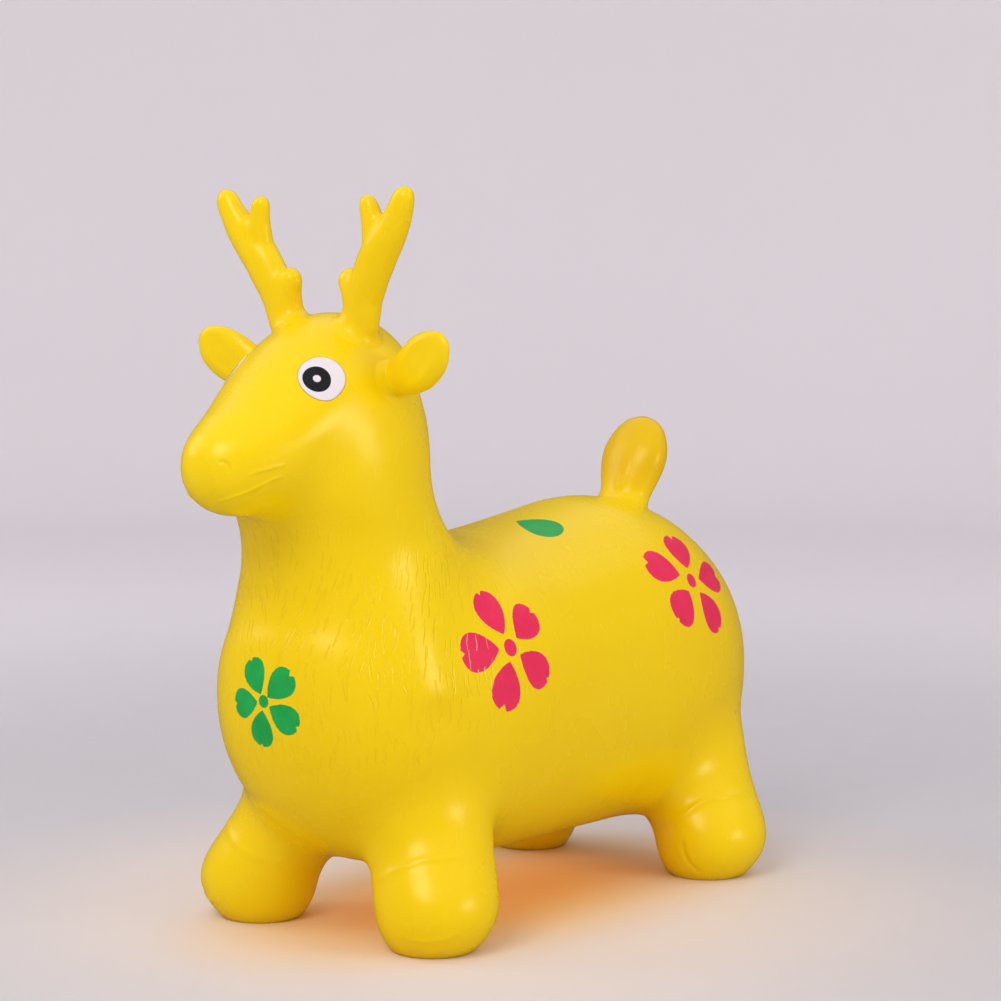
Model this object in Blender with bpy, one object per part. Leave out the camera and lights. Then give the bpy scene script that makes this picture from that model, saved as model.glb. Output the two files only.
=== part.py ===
"""An inflatable jumping deer for small children: a hollow skin of soft PVC on four stub legs.

Metres, +Z up. The origin is on the floor under the middle of the toy. The nose points to -Y
and the toy's left side is +X. The skin is moulded in one go and is divided here at its natural
necks, so that each part of it that bends has a piece of its own.
"""

import math

import bmesh
import bpy
from mathutils import Matrix, Vector
from mathutils.bvhtree import BVHTree

# Skin
WALL = 0.0022
GAP = 0.0003
FINE_GRAIN = 0.0045
TINE_GRAIN = 0.0020

# Body
BODY_LENGTH = 0.508
BODY_WIDTH = 0.216
SEAT_HEIGHT = 0.295
BELLY_HEIGHT = 0.039
BODY_SETBACK = 0.031

# Legs
FOOT_TRACK = 0.172
REAR_FOOT_TRACK = 0.186
WHEELBASE = 0.322
LEGS_SETBACK = 0.0225
FOOT_DIAMETER = 0.091
LEG_HEIGHT = 0.150
LEG_SPLAY = 0.046
REAR_LEG_SPLAY = 0.057
FRONT_LEG_LEAN = 0.036
REAR_LEG_LEAN = 0.026

# Neck and head
NECK_SETBACK = 0.094
NECK_DIAMETER = 0.158
HEAD_RISE = 0.089
HEAD_FORWARD = 0.028
HEAD_REACH = 0.130
HEAD_DEPTH = 0.120
HEAD_WIDTH = 0.118
NOSE_DROP = 0.044
NOSE_DIAMETER = 0.068

# Ears
EAR_LENGTH = 0.066
EAR_WIDTH = 0.039
EAR_THICKNESS = 0.017
EAR_LIFT = 0.023
EAR_PLACE = 0.015
EAR_ROOT_DIAMETER = 0.025
EAR_SWEEP = 0.006

# Antlers
ANTLER_HEIGHT = 0.1000
ANTLER_SPREAD = 0.056
ANTLER_LEAN = 0.012
ANTLER_STANCE = 0.041
BEAM_DIAMETER = 0.025
ANTLER_ROOT_DIAMETER = 0.033
BEAM_WALL = 0.0050

# Tail
TAIL_LENGTH = 0.074
TAIL_WIDTH = 0.057
TAIL_THICKNESS = 0.036
TAIL_SETBACK = 0.032
TAIL_PLACE = 0.097
TAIL_ROOT_DIAMETER = 0.038
TAIL_WALL = 0.0100

# Eyes
EYE_WIDTH = 0.033
EYE_HEIGHT = 0.034
PUPIL_WIDTH = 0.0198
PUPIL_HEIGHT = 0.0203
GLINT_DIAMETER = 0.0056
EYE_RISE = 0.0155
EYE_FORWARD = 0.0487
PUPIL_FORWARD = 0.0040
PUPIL_DROP = 0.0010
PAINT = 0.0004

# Valve, its height taken from the middle of the body
VALVE_HEIGHT = 0.0230
FLANGE_DIAMETER = 0.026
FLANGE_THICKNESS = 0.0022
SLEEVE_DIAMETER = 0.0150
SLEEVE_LENGTH = 0.0160
BORE_DIAMETER = 0.0090
PLUG_HEAD_DIAMETER = 0.0180
PLUG_HEAD_THICKNESS = 0.0026
PLUG_LENGTH = 0.0150
PLUG_RIB_DEPTH = 0.0005
PLUG_RIBS = 3

# Places along each form, then its sizes there, as shares of the sizes that it follows
BODY_SHARES = (
    # along, half width, top, bottom
    (-0.500, 0.08, 0.590, 0.500),
    (-0.485, 0.38, 0.715, 0.370),
    (-0.450, 0.64, 0.815, 0.230),
    (-0.390, 0.83, 0.875, 0.110),
    (-0.310, 0.95, 0.910, 0.040),
    (-0.200, 1.00, 0.926, 0.010),
    (-0.050, 0.99, 0.936, 0.000),
    (0.100, 0.97, 0.975, 0.000),
    (0.200, 0.97, 1.000, 0.000),
    (0.290, 0.95, 0.975, 0.005),
    (0.360, 0.88, 0.915, 0.030),
    (0.425, 0.74, 0.825, 0.090),
    (0.470, 0.54, 0.715, 0.190),
    (0.492, 0.32, 0.600, 0.290),
    (0.500, 0.08, 0.500, 0.390),
)
BODY_FULLNESS_SHARE = 0.93
NECK_SHARES = (
    # height from the belly to the head's middle, forward shift, half width, half depth
    (0.400, 0.14, 1.30, 0.96),
    (0.500, 0.16, 1.19, 0.97),
    (0.600, 0.14, 1.04, 0.97),
    (0.660, 0.06, 0.97, 0.99),
    (0.710, 0.24, 0.92, 0.94),
    (0.765, 0.62, 0.90, 0.92),
    (0.820, 0.90, 0.88, 0.95),
    (0.880, 0.96, 0.87, 0.99),
    (0.960, 1.02, 0.82, 0.99),
    (1.040, 1.06, 0.72, 0.88),
)
HEAD_SHARES = (
    # reach, drop, half depth, half width
    (-0.520, 0.04, 0.10, 0.10),
    (-0.480, 0.04, 0.48, 0.48),
    (-0.350, 0.04, 0.82, 0.80),
    (-0.150, 0.04, 0.99, 0.96),
    (0.060, 0.10, 1.03, 1.00),
    (0.260, 0.30, 1.00, 0.98),
    (0.480, 0.58, 0.87, 0.86),
    (0.680, 0.86, 0.69, 0.70),
    (0.840, 0.98, 0.53, 0.54),
    (0.920, 0.99, 0.36, 0.36),
    (0.950, 1.00, 0.08, 0.10),
)
LEG_SHARES = (
    # height, splay out, lean, half width
    (-0.048, 0.90, 0.00, 0.14),
    (-0.040, 0.90, 0.00, 0.38),
    (-0.015, 0.91, 0.00, 0.60),
    (0.050, 0.94, 0.00, 0.80),
    (0.140, 0.98, 0.00, 0.94),
    (0.230, 0.97, 0.03, 0.98),
    (0.340, 0.84, 0.16, 0.98),
    (0.450, 0.64, 0.36, 0.98),
    (0.600, 0.38, 0.62, 1.04),
    (0.800, 0.14, 0.86, 1.10),
    (1.000, 0.00, 1.00, 1.05),
)
EAR_SHARES = (
    # along, half width, half thickness, rise
    (0.00, 0.38, 0.90, 0.02),
    (0.20, 0.44, 0.96, 0.06),
    (0.38, 0.77, 1.00, 0.20),
    (0.57, 0.97, 0.92, 0.43),
    (0.77, 0.88, 0.72, 0.74),
    (0.91, 0.60, 0.46, 0.96),
    (1.00, 0.10, 0.12, 1.06),
)
BEAM_SHARES = (
    # out, up, half diameter
    (0.00, 0.00, 1.04),
    (0.12, 0.16, 1.06),
    (0.22, 0.30, 1.06),
    (0.49, 0.56, 1.08),
    (0.70, 0.70, 1.00),
    (0.86, 0.83, 0.82),
    (0.95, 0.93, 0.70),
    (0.99, 0.98, 0.54),
    (1.01, 1.015, 0.18),
)
TINE_SHARES = (
    # out, up, half diameter
    (0.46, 0.50, 0.90),
    (0.46, 0.68, 0.82),
    (0.43, 0.80, 0.66),
    (0.39, 0.89, 0.57),
    (0.365, 0.935, 0.45),
    (0.355, 0.965, 0.16),
)
WEB_SHARES = (
    # out, up, half diameter
    (0.48, 0.48, 0.90),
    (0.55, 0.60, 0.90),
    (0.59, 0.69, 0.70),
    (0.60, 0.735, 0.46),
    (0.60, 0.755, 0.14),
)
SPUR_WEB_SHARES = (
    # out, up, half diameter
    (0.10, 0.06, 1.04),
    (0.19, 0.24, 1.04),
    (0.20, 0.34, 0.96),
    (0.16, 0.40, 0.72),
    (0.14, 0.43, 0.30),
)
SPUR_SHARES = (
    # out, up, half diameter
    (0.04, 0.02, 0.98),
    (0.09, 0.22, 0.95),
    (0.04, 0.33, 0.86),
    (-0.04, 0.385, 0.74),
    (-0.105, 0.415, 0.54),
    (-0.140, 0.430, 0.16),
)
TAIL_SHARES = (
    # along, half width, half thickness
    (0.00, 0.60, 0.74),
    (0.18, 0.70, 0.82),
    (0.33, 0.88, 0.95),
    (0.49, 1.00, 1.00),
    (0.66, 0.96, 0.92),
    (0.84, 0.72, 0.68),
    (0.95, 0.40, 0.40),
    (1.00, 0.08, 0.10),
)
ANTLER_DEPTH_SHARE = 0.86
PLUG_TAPER_SHARE = 0.88
RIB_PLACE_SHARE = 0.70
FLANGE_EDGE_SHARE = 0.33
TAIL_BORE_SHARE = 0.60
ROOT_SINK_SHARE = 0.35
LEG_DOME_SHARE = 0.66
LEG_DOME_MIDDLE_SHARE = 0.26
NECK_BASE_SHARES = (0.985, 0.25)
NECK_TOP_SHARES = (1.150, 0.50)

# Counts
BODY_SIDES = 40
TUBE_SIDES = 20
BALL_SIDES = 18
SOCKET_SIDES = 32
ROUND_SIDES = 22
BORE_SIDES = 10
FILL_STEPS = 4
SKIN_ROUNDS = 16
TINE_ROUNDS = 5
SKIN_FACES = 4400
CAVITY_FACES = 1200
TINE_FACES = 620
BORE_ROWS = 5
EAR_FACES = 320
TAIL_FACES = 360

# Crease angle, colours and roughness of the materials
YELLOW = (0.93, 0.63, 0.008, 1.0)
WHITE = (0.86, 0.80, 0.84, 1.0)
BLACK = (0.017, 0.016, 0.018, 1.0)
IVORY = (0.78, 0.70, 0.52, 1.0)
CREASE_DEGREES = 35
SOFT_ROUGHNESS = 0.42
PAINT_ROUGHNESS = 0.50

# Places that follow from the sizes
BODY_DEPTH = SEAT_HEIGHT - BELLY_HEIGHT
BODY_MIDDLE = BELLY_HEIGHT + BODY_DEPTH / 2
CHEST_Y = BODY_SETBACK - BODY_LENGTH / 2
RUMP_Y = BODY_SETBACK + BODY_LENGTH / 2
NECK_Y = CHEST_Y + NECK_SETBACK
HEAD_Y = NECK_Y - HEAD_FORWARD
HEAD_Z = SEAT_HEIGHT + HEAD_RISE
FRONT_FOOT_Y = LEGS_SETBACK - WHEELBASE / 2
REAR_FOOT_Y = LEGS_SETBACK + WHEELBASE / 2
TOY_SPAN = BODY_LENGTH + HEAD_REACH + SEAT_HEIGHT


def clear_scene():
    for obj in list(bpy.data.objects):
        bpy.data.objects.remove(obj, do_unlink=True)


def material(name, colour, roughness, metallic=0.0):
    made = bpy.data.materials.new(name)
    made.use_nodes = True
    shader = made.node_tree.nodes["Principled BSDF"]
    shader.inputs["Base Color"].default_value = colour
    shader.inputs["Roughness"].default_value = roughness
    shader.inputs["Metallic"].default_value = metallic
    return made


def shown(name, mesh):
    obj = bpy.data.objects.new(name, mesh)
    bpy.context.scene.collection.objects.link(obj)
    return obj


def guide(name, mesh):
    """An object that only shapes others."""
    obj = shown(name, mesh)
    obj.hide_render = True
    obj.display_type = "WIRE"
    return obj


def mesh_from(bm, name):
    bmesh.ops.recalc_face_normals(bm, faces=bm.faces)
    mesh = bpy.data.meshes.new(name)
    bm.to_mesh(mesh)
    bm.free()
    return mesh


def settled(obj, name):
    """The mesh of an object with its modifiers worked in."""
    graph = bpy.context.evaluated_depsgraph_get()
    mesh = bpy.data.meshes.new_from_object(obj.evaluated_get(graph))
    mesh.name = name
    return mesh


def curve_between(p, q, r, s, t):
    """The value at a share t of the way from q to r, on a smooth curve through p, q, r and s."""
    slope = r - p
    bend = 2 * p - 5 * q + 4 * r - s
    twist = 3 * (q - r) + s - p
    return q + t * (slope + t * (bend + t * twist)) / 2


def through(rows):
    """The rows with more filled in between, on a smooth curve that passes through each."""
    filled = []
    last = len(rows) - 1
    for k in range(last):
        near = (rows[max(k - 1, 0)], rows[k], rows[k + 1], rows[min(k + 2, last)])
        for step in range(FILL_STEPS):
            t = step / FILL_STEPS
            filled.append([curve_between(*values, t) for values in zip(*near)])
    filled.append(list(rows[last]))
    return filled


def loft(bm, rings, sides, fullness_share=1.0):
    """Skins a closed form over rings, each a centre with the half size across and along it."""
    loops = []
    for centre, across, along in rings:
        made = bmesh.ops.create_circle(bm, cap_ends=False, radius=1, segments=sides)
        square = Matrix((across, along, across.cross(along).normalized())).transposed()
        for vert in made["verts"]:
            x, y, _ = vert.co
            flat = Vector(
                (
                    math.copysign(abs(x) ** fullness_share, x),
                    math.copysign(abs(y) ** fullness_share, y),
                    0,
                )
            )
            vert.co = Vector(centre) + square @ flat
        loops.append(list(dict.fromkeys(edge for vert in made["verts"] for edge in vert.link_edges)))
    for near, far in zip(loops, loops[1:]):
        bmesh.ops.bridge_loops(bm, edges=near + far)
    bmesh.ops.edgeloop_fill(bm, edges=loops[0])
    bmesh.ops.edgeloop_fill(bm, edges=loops[-1])


def tube_rings(points, halves, flat=Vector((0, 1, 0)), flat_halves=None):
    """Rings square to a path of points, with their second size along the flat direction."""
    rings = []
    last = len(points) - 1
    for k, (point, half) in enumerate(zip(points, halves)):
        ahead = (points[min(k + 1, last)] - points[max(k - 1, 0)]).normalized()
        across = flat.cross(ahead).normalized()
        along = ahead.cross(across)
        other = flat_halves[k] if flat_halves else half
        rings.append((point, across * half, along * other))
    return rings


def melted(name, form, grain, rounds, faces, symmetric=False):
    """One smooth skin over forms that overlap, with the valleys between them softened."""
    rough = guide(name + "_form", mesh_from(form, name + "_form"))
    remesh = rough.modifiers.new("remesh", "REMESH")
    remesh.mode = "VOXEL"
    remesh.voxel_size = grain
    smooth = rough.modifiers.new("smooth", "SMOOTH")
    smooth.factor = 0.5
    smooth.iterations = rounds
    fine = guide(name + "_fine", settled(rough, name + "_fine"))
    triangles = sum(len(face.vertices) - 2 for face in fine.data.polygons)
    thin = fine.modifiers.new("thin", "DECIMATE")
    thin.ratio = min(1.0, faces / triangles)
    thin.use_symmetry = symmetric
    thin.symmetry_axis = "X"
    return fine


def moved_skin(source, name, offset, faces=None):
    """A copy of a skin moved outwards along its normals by an offset."""
    obj = guide(name, source.data.copy())
    push = obj.modifiers.new("push", "DISPLACE")
    push.mid_level = 0
    push.strength = offset
    if faces:
        triangles = sum(len(face.vertices) - 2 for face in obj.data.polygons)
        thin = obj.modifiers.new("thin", "DECIMATE")
        thin.ratio = min(1.0, faces / triangles)
    return obj


def cut(obj, operation, tool):
    made = obj.modifiers.new(operation.lower() + "_" + tool.name, "BOOLEAN")
    made.operation = operation
    made.solver = "EXACT"
    made.object = tool


def block(name, place, size):
    """A box whose own middle is placed by a matrix."""
    bm = bmesh.new()
    bmesh.ops.create_cube(bm, size=1, matrix=place @ Matrix.Diagonal((*size, 1)))
    return guide(name, mesh_from(bm, name))


def ball(name, centre, half, sides):
    bm = bmesh.new()
    bmesh.ops.create_uvsphere(
        bm,
        u_segments=sides,
        v_segments=sides // 2,
        radius=half,
        matrix=Matrix.Translation(centre),
    )
    return guide(name, mesh_from(bm, name))


def facing(direction):
    """The turn that brings +Z to a direction."""
    return Vector(direction).to_track_quat("Z", "Y").to_matrix().to_4x4()


def turned(bm, outline, place):
    """Turns an outline of radius and height round its own axis, then places it."""
    verts = [bm.verts.new((radius, 0, height)) for radius, height in outline]
    edges = [bm.edges.new(pair) for pair in zip(verts, verts[1:])]
    bmesh.ops.spin(
        bm,
        geom=verts + edges,
        axis=(0, 0, 1),
        cent=(0, 0, 0),
        angle=math.tau,
        steps=ROUND_SIDES,
        use_merge=True,
    )
    bmesh.ops.remove_doubles(bm, verts=bm.verts, dist=PAINT / 10)
    bmesh.ops.transform(bm, matrix=place, verts=bm.verts)


def body_form(bm):
    rings = []
    for along, half, top, bottom in through(BODY_SHARES):
        middle = BELLY_HEIGHT + BODY_DEPTH * (top + bottom) / 2
        centre = Vector((0, BODY_SETBACK + along * BODY_LENGTH, middle))
        across = Vector((half * BODY_WIDTH / 2, 0, 0))
        rise = Vector((0, 0, BODY_DEPTH * (top - bottom) / 2))
        rings.append((centre, across, rise))
    loft(bm, rings, BODY_SIDES, BODY_FULLNESS_SHARE)


def neck_form(bm):
    rings = []
    for up, forward, half, depth in through(NECK_SHARES):
        height = BELLY_HEIGHT + up * (HEAD_Z - BELLY_HEIGHT)
        centre = Vector((0, NECK_Y - forward * HEAD_FORWARD, height))
        across = Vector((half * NECK_DIAMETER / 2, 0, 0))
        along = Vector((0, depth * NECK_DIAMETER / 2, 0))
        rings.append((centre, across, along))
    loft(bm, rings, BODY_SIDES)


def head_form(bm):
    rings = []
    for reach, drop, depth, half in through(HEAD_SHARES):
        centre = Vector((0, HEAD_Y - reach * HEAD_REACH, HEAD_Z - drop * NOSE_DROP))
        across = Vector((half * HEAD_WIDTH / 2, 0, 0))
        rise = Vector((0, 0, depth * HEAD_DEPTH / 2))
        rings.append((centre, across, rise))
    loft(bm, rings, BODY_SIDES)
    nose = Vector((0, HEAD_Y - HEAD_REACH + NOSE_DIAMETER / 2, HEAD_Z - NOSE_DROP))
    bmesh.ops.create_uvsphere(
        bm,
        u_segments=BALL_SIDES,
        v_segments=BALL_SIDES // 2,
        radius=NOSE_DIAMETER / 2,
        matrix=Matrix.Translation(nose),
    )


def leg_form(bm, side, track, reach, foot_y, lean):
    rings = []
    for up, splay, back, half in through(LEG_SHARES):
        inward = (1 - splay) * reach
        centre = Vector((side * (track / 2 - inward), foot_y + back * lean, up * LEG_HEIGHT))
        half_size = half * FOOT_DIAMETER / 2
        rings.append((centre, Vector((half_size, 0, 0)), Vector((0, half_size, 0))))
    loft(bm, rings, TUBE_SIDES)


def whole_skin():
    bm = bmesh.new()
    body_form(bm)
    neck_form(bm)
    head_form(bm)
    for side in (-1, 1):
        leg_form(bm, side, FOOT_TRACK, LEG_SPLAY, FRONT_FOOT_Y, FRONT_LEG_LEAN)
        leg_form(bm, side, REAR_FOOT_TRACK, REAR_LEG_SPLAY, REAR_FOOT_Y, REAR_LEG_LEAN)
    return melted("skin", bm, FINE_GRAIN, SKIN_ROUNDS, SKIN_FACES, True)


def floor_block(name, height):
    """Everything below a height, as wide as the toy."""
    place = Matrix.Translation((0, 0, height - TOY_SPAN / 2))
    return block(name, place, (TOY_SPAN, TOY_SPAN, TOY_SPAN))


def hollow_skin(skin):
    """The blown-up skin with flat soles and its wall, still in one."""
    cavity = moved_skin(skin, "cavity", -WALL, CAVITY_FACES)
    cut(cavity, "DIFFERENCE", floor_block("sole_floor", WALL))
    shell = guide("shell", settled(skin, "shell_outside"))
    cut(shell, "DIFFERENCE", floor_block("floor", 0))
    cut(shell, "DIFFERENCE", cavity)
    return settled(shell, "shell")


def above_plane(name, shares, lift):
    """Everything above a plane that tilts back over the neck."""
    height_share, tilt_share = shares
    tilt = math.atan(tilt_share)
    place = (
        Matrix.Translation((0, NECK_Y, SEAT_HEIGHT * height_share))
        @ Matrix.Rotation(tilt, 4, "X")
        @ Matrix.Translation((0, 0, lift + TOY_SPAN / 2))
    )
    return block(name, place, (TOY_SPAN, TOY_SPAN, TOY_SPAN))


def skin_zone(name, shell, keep, remove):
    obj = shown(name, shell.copy())
    for tool in keep:
        cut(obj, "INTERSECT", tool)
    for tool in remove:
        cut(obj, "DIFFERENCE", tool)
    return obj


def leg_tool(name, side, track, foot_y, spare):
    """The rounded dome that divides a leg from the body."""
    half = FOOT_DIAMETER * LEG_DOME_SHARE
    centre = Vector((side * track / 2, foot_y, LEG_HEIGHT * LEG_DOME_MIDDLE_SHARE))
    return ball(name, centre, half + spare, BALL_SIDES)


def hit(tree, origin, direction):
    """Where a line from inside the skin meets it, and the outward direction there."""
    place, normal, _, _ = tree.ray_cast(origin, Vector(direction).normalized())
    if normal.dot(direction) < 0:
        normal = -normal
    return place, normal


def finish(obj, made):
    obj.data.materials.clear()
    obj.data.materials.append(made)
    obj.data.shade_smooth()
    obj.data.set_sharp_from_angle(angle=math.radians(CREASE_DEGREES))


def rooted(name, tree, origin, direction, diameter):
    """The ball at the root of a soft part that bends: its middle, and the ball with its socket."""
    place, _ = hit(tree, origin, direction)
    half = diameter / 2
    centre = place - Vector(direction).normalized() * half * ROOT_SINK_SHARE
    root = ball(name + "_root", centre, half, BALL_SIDES)
    socket = ball(name + "_socket", centre, half + GAP, SOCKET_SIDES)
    return centre, root, socket


def ear(name, side, tree, made):
    centre, root, socket = rooted(
        name, tree, (0, HEAD_Y, HEAD_Z + EAR_PLACE), (side, 0, 0), EAR_ROOT_DIAMETER
    )
    points, halves, thin = [], [], []
    for along, half, thickness, rise in through(EAR_SHARES):
        points.append(centre + Vector((side * along * EAR_LENGTH, -along * EAR_SWEEP, rise * EAR_LIFT)))
        halves.append(half * EAR_WIDTH / 2)
        thin.append(thickness * EAR_THICKNESS / 2)
    bm = bmesh.new()
    loft(bm, tube_rings(points, halves, flat_halves=thin), TUBE_SIDES)
    fine = melted(name, bm, TINE_GRAIN, TINE_ROUNDS, EAR_FACES)
    obj = shown(name, settled(fine, name))
    cut(obj, "UNION", root)
    finish(obj, made)
    return obj, centre, socket


def antler_path(centre, side, rows):
    points, halves = [], []
    for out, up, half in rows:
        shift = Vector((side * out * ANTLER_SPREAD, -up * ANTLER_LEAN, up * ANTLER_HEIGHT))
        points.append(centre + shift)
        halves.append(half * BEAM_DIAMETER / 2)
    return points, halves


def antler(name, side, tree, made):
    direction = (side * ANTLER_STANCE, 0, HEAD_DEPTH / 2)
    centre, root, socket = rooted(name, tree, (0, HEAD_Y, HEAD_Z), direction, ANTLER_ROOT_DIAMETER)
    bm = bmesh.new()
    for shares in (BEAM_SHARES, TINE_SHARES, WEB_SHARES, SPUR_SHARES, SPUR_WEB_SHARES):
        points, halves = antler_path(centre, side, through(shares))
        thin = [half * ANTLER_DEPTH_SHARE for half in halves]
        loft(bm, tube_rings(points, halves, flat_halves=thin), TUBE_SIDES)
    fine = melted(name, bm, TINE_GRAIN, TINE_ROUNDS, TINE_FACES)
    points, halves = antler_path(centre, side, BEAM_SHARES[:BORE_ROWS])
    foot = centre - Vector(direction).normalized() * ANTLER_ROOT_DIAMETER
    bore = bmesh.new()
    bore_halves = [half - BEAM_WALL for half in halves]
    loft(bore, tube_rings([foot, *points], [bore_halves[0], *bore_halves]), BORE_SIDES)
    obj = shown(name, settled(fine, name))
    cut(obj, "UNION", root)
    cut(obj, "DIFFERENCE", guide(name + "_bore", mesh_from(bore, name + "_bore")))
    finish(obj, made)
    return obj, centre, socket


def tail(tree, made):
    origin = (0, RUMP_Y - TAIL_PLACE, BODY_MIDDLE)
    centre, root, socket = rooted("tail", tree, origin, (0, 0, 1), TAIL_ROOT_DIAMETER)
    points, halves, thin = [], [], []
    for along, half, thickness in through(TAIL_SHARES):
        points.append(centre + Vector((0, along * TAIL_SETBACK, along * TAIL_LENGTH)))
        halves.append(half * TAIL_WIDTH / 2)
        thin.append(thickness * TAIL_THICKNESS / 2)
    bm = bmesh.new()
    loft(bm, tube_rings(points, halves, Vector((0, 1, 0)), thin), TUBE_SIDES)
    fine = melted("tail", bm, TINE_GRAIN, TINE_ROUNDS, TAIL_FACES)
    core = TAIL_ROOT_DIAMETER / 2 - TAIL_WALL
    foot = centre - Vector((0, 0, TAIL_ROOT_DIAMETER))
    top = centre + Vector((0, TAIL_SETBACK, TAIL_LENGTH)) * TAIL_BORE_SHARE
    bore = bmesh.new()
    loft(bore, tube_rings([foot, centre, top], [core, core, core * TAIL_BORE_SHARE]), BORE_SIDES)
    obj = shown("tail", settled(fine, "tail"))
    cut(obj, "UNION", root)
    cut(obj, "DIFFERENCE", guide("tail_bore", mesh_from(bore, "tail_bore")))
    finish(obj, made)
    return obj, centre, socket


def oval(name, place, width, height, depth):
    """An upright oval prism across the skin, which a film of paint is cut from."""
    bm = bmesh.new()
    size = Matrix.Diagonal((width / 2, height / 2, depth, 1))
    bmesh.ops.create_cone(
        bm, cap_ends=True, segments=ROUND_SIDES, radius1=1, radius2=1, depth=1, matrix=place @ size
    )
    return mesh_from(bm, name)


def film(name, mesh, under, over, hole, made):
    """A film of paint that follows the skin."""
    obj = shown(name, mesh)
    cut(obj, "INTERSECT", over)
    cut(obj, "DIFFERENCE", under)
    if hole:
        cut(obj, "DIFFERENCE", hole)
    finish(obj, made)


def eye(name, side, tree, under, over, white, black):
    origin = (0, HEAD_Y - EYE_FORWARD, HEAD_Z + EYE_RISE)
    place, normal = hit(tree, origin, (side, 0, 0))
    across = Vector((0, 0, 1)).cross(normal).normalized() * -side
    up = normal.cross(across) * -side
    turn = Matrix((across, up, normal)).transposed().to_4x4()
    spot = Matrix.Translation(place) @ turn
    ahead = spot @ Matrix.Translation((PUPIL_FORWARD, -PUPIL_DROP, 0))
    depth = EYE_WIDTH / 2
    ring_width = PUPIL_WIDTH + 2 * GAP
    ring_height = PUPIL_HEIGHT + 2 * GAP
    film(
        name + "_white",
        oval(name + "_white", spot, EYE_WIDTH, EYE_HEIGHT, depth),
        under,
        over,
        guide(name + "_ring", oval(name + "_ring", ahead, ring_width, ring_height, depth)),
        white,
    )
    ring = GLINT_DIAMETER + 2 * GAP
    film(
        name + "_pupil",
        oval(name + "_pupil", ahead, PUPIL_WIDTH, PUPIL_HEIGHT, depth),
        under,
        over,
        guide(name + "_dot", oval(name + "_dot", ahead, ring, ring, depth)),
        black,
    )
    film(
        name + "_glint",
        oval(name + "_glint", ahead, GLINT_DIAMETER, GLINT_DIAMETER, depth),
        under,
        over,
        None,
        white,
    )


def valve(tree, under, made):
    """The flanged sleeve in the rump and the plug pushed into it, on an axis along +Y."""
    place, _ = hit(tree, (0, BODY_SETBACK, BODY_MIDDLE + VALVE_HEIGHT), (0, 1, 0))
    seat = Matrix.Translation(place) @ facing((0, 1, 0))
    half = FLANGE_DIAMETER / 2
    edge = FLANGE_THICKNESS * FLANGE_EDGE_SHARE
    flange = bmesh.new()
    outline = [
        (0, -FLANGE_THICKNESS),
        (half, -FLANGE_THICKNESS),
        (half, FLANGE_THICKNESS - edge),
        (half - edge, FLANGE_THICKNESS),
        (0, FLANGE_THICKNESS),
    ]
    turned(flange, outline, seat)
    insert = shown("valve_insert", mesh_from(flange, "valve_insert"))
    cut(insert, "DIFFERENCE", under)
    cut(insert, "UNION", rod("sleeve", seat, SLEEVE_DIAMETER, -SLEEVE_LENGTH, FLANGE_THICKNESS / 2))
    cut(insert, "DIFFERENCE", rod("bore", seat, BORE_DIAMETER, -2 * SLEEVE_LENGTH, SLEEVE_LENGTH))
    finish(insert, made)

    seat_top = FLANGE_THICKNESS + GAP
    rib = BORE_DIAMETER / 2 - GAP
    stem = rib - PLUG_RIB_DEPTH
    pitch = PLUG_LENGTH / (PLUG_RIBS + 1)
    outline = [(0, seat_top - PLUG_LENGTH), (stem * PLUG_TAPER_SHARE, seat_top - PLUG_LENGTH)]
    for k in range(PLUG_RIBS):
        middle = seat_top - PLUG_LENGTH + (k + RIB_PLACE_SHARE) * pitch
        outline += [(stem, middle - pitch / 4), (rib, middle), (stem, middle + pitch / 4)]
    head = PLUG_HEAD_DIAMETER / 2
    outline += [
        (stem, seat_top),
        (head, seat_top),
        (head, seat_top + PLUG_HEAD_THICKNESS / 2),
        (head * PLUG_TAPER_SHARE, seat_top + PLUG_HEAD_THICKNESS),
        (0, seat_top + PLUG_HEAD_THICKNESS),
    ]
    plug_form = bmesh.new()
    turned(plug_form, outline, facing((0, 1, 0)))
    plug = shown("valve_plug", mesh_from(plug_form, "valve_plug"))
    plug.location = place
    finish(plug, made)
    return rod("valve_hole", seat, SLEEVE_DIAMETER + 2 * GAP, -SLEEVE_LENGTH, SLEEVE_LENGTH)


def rod(name, seat, diameter, low, high):
    bm = bmesh.new()
    bmesh.ops.create_cone(
        bm,
        cap_ends=True,
        segments=ROUND_SIDES,
        radius1=diameter / 2,
        radius2=diameter / 2,
        depth=high - low,
        matrix=seat @ Matrix.Translation((0, 0, (low + high) / 2)),
    )
    return guide(name, mesh_from(bm, name))


def origin_at(obj, place):
    """Sets an object's origin on its joint without moving its shape."""
    shift = Vector(place) - obj.location
    obj.data.transform(Matrix.Translation(-shift))
    obj.location = place


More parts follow.
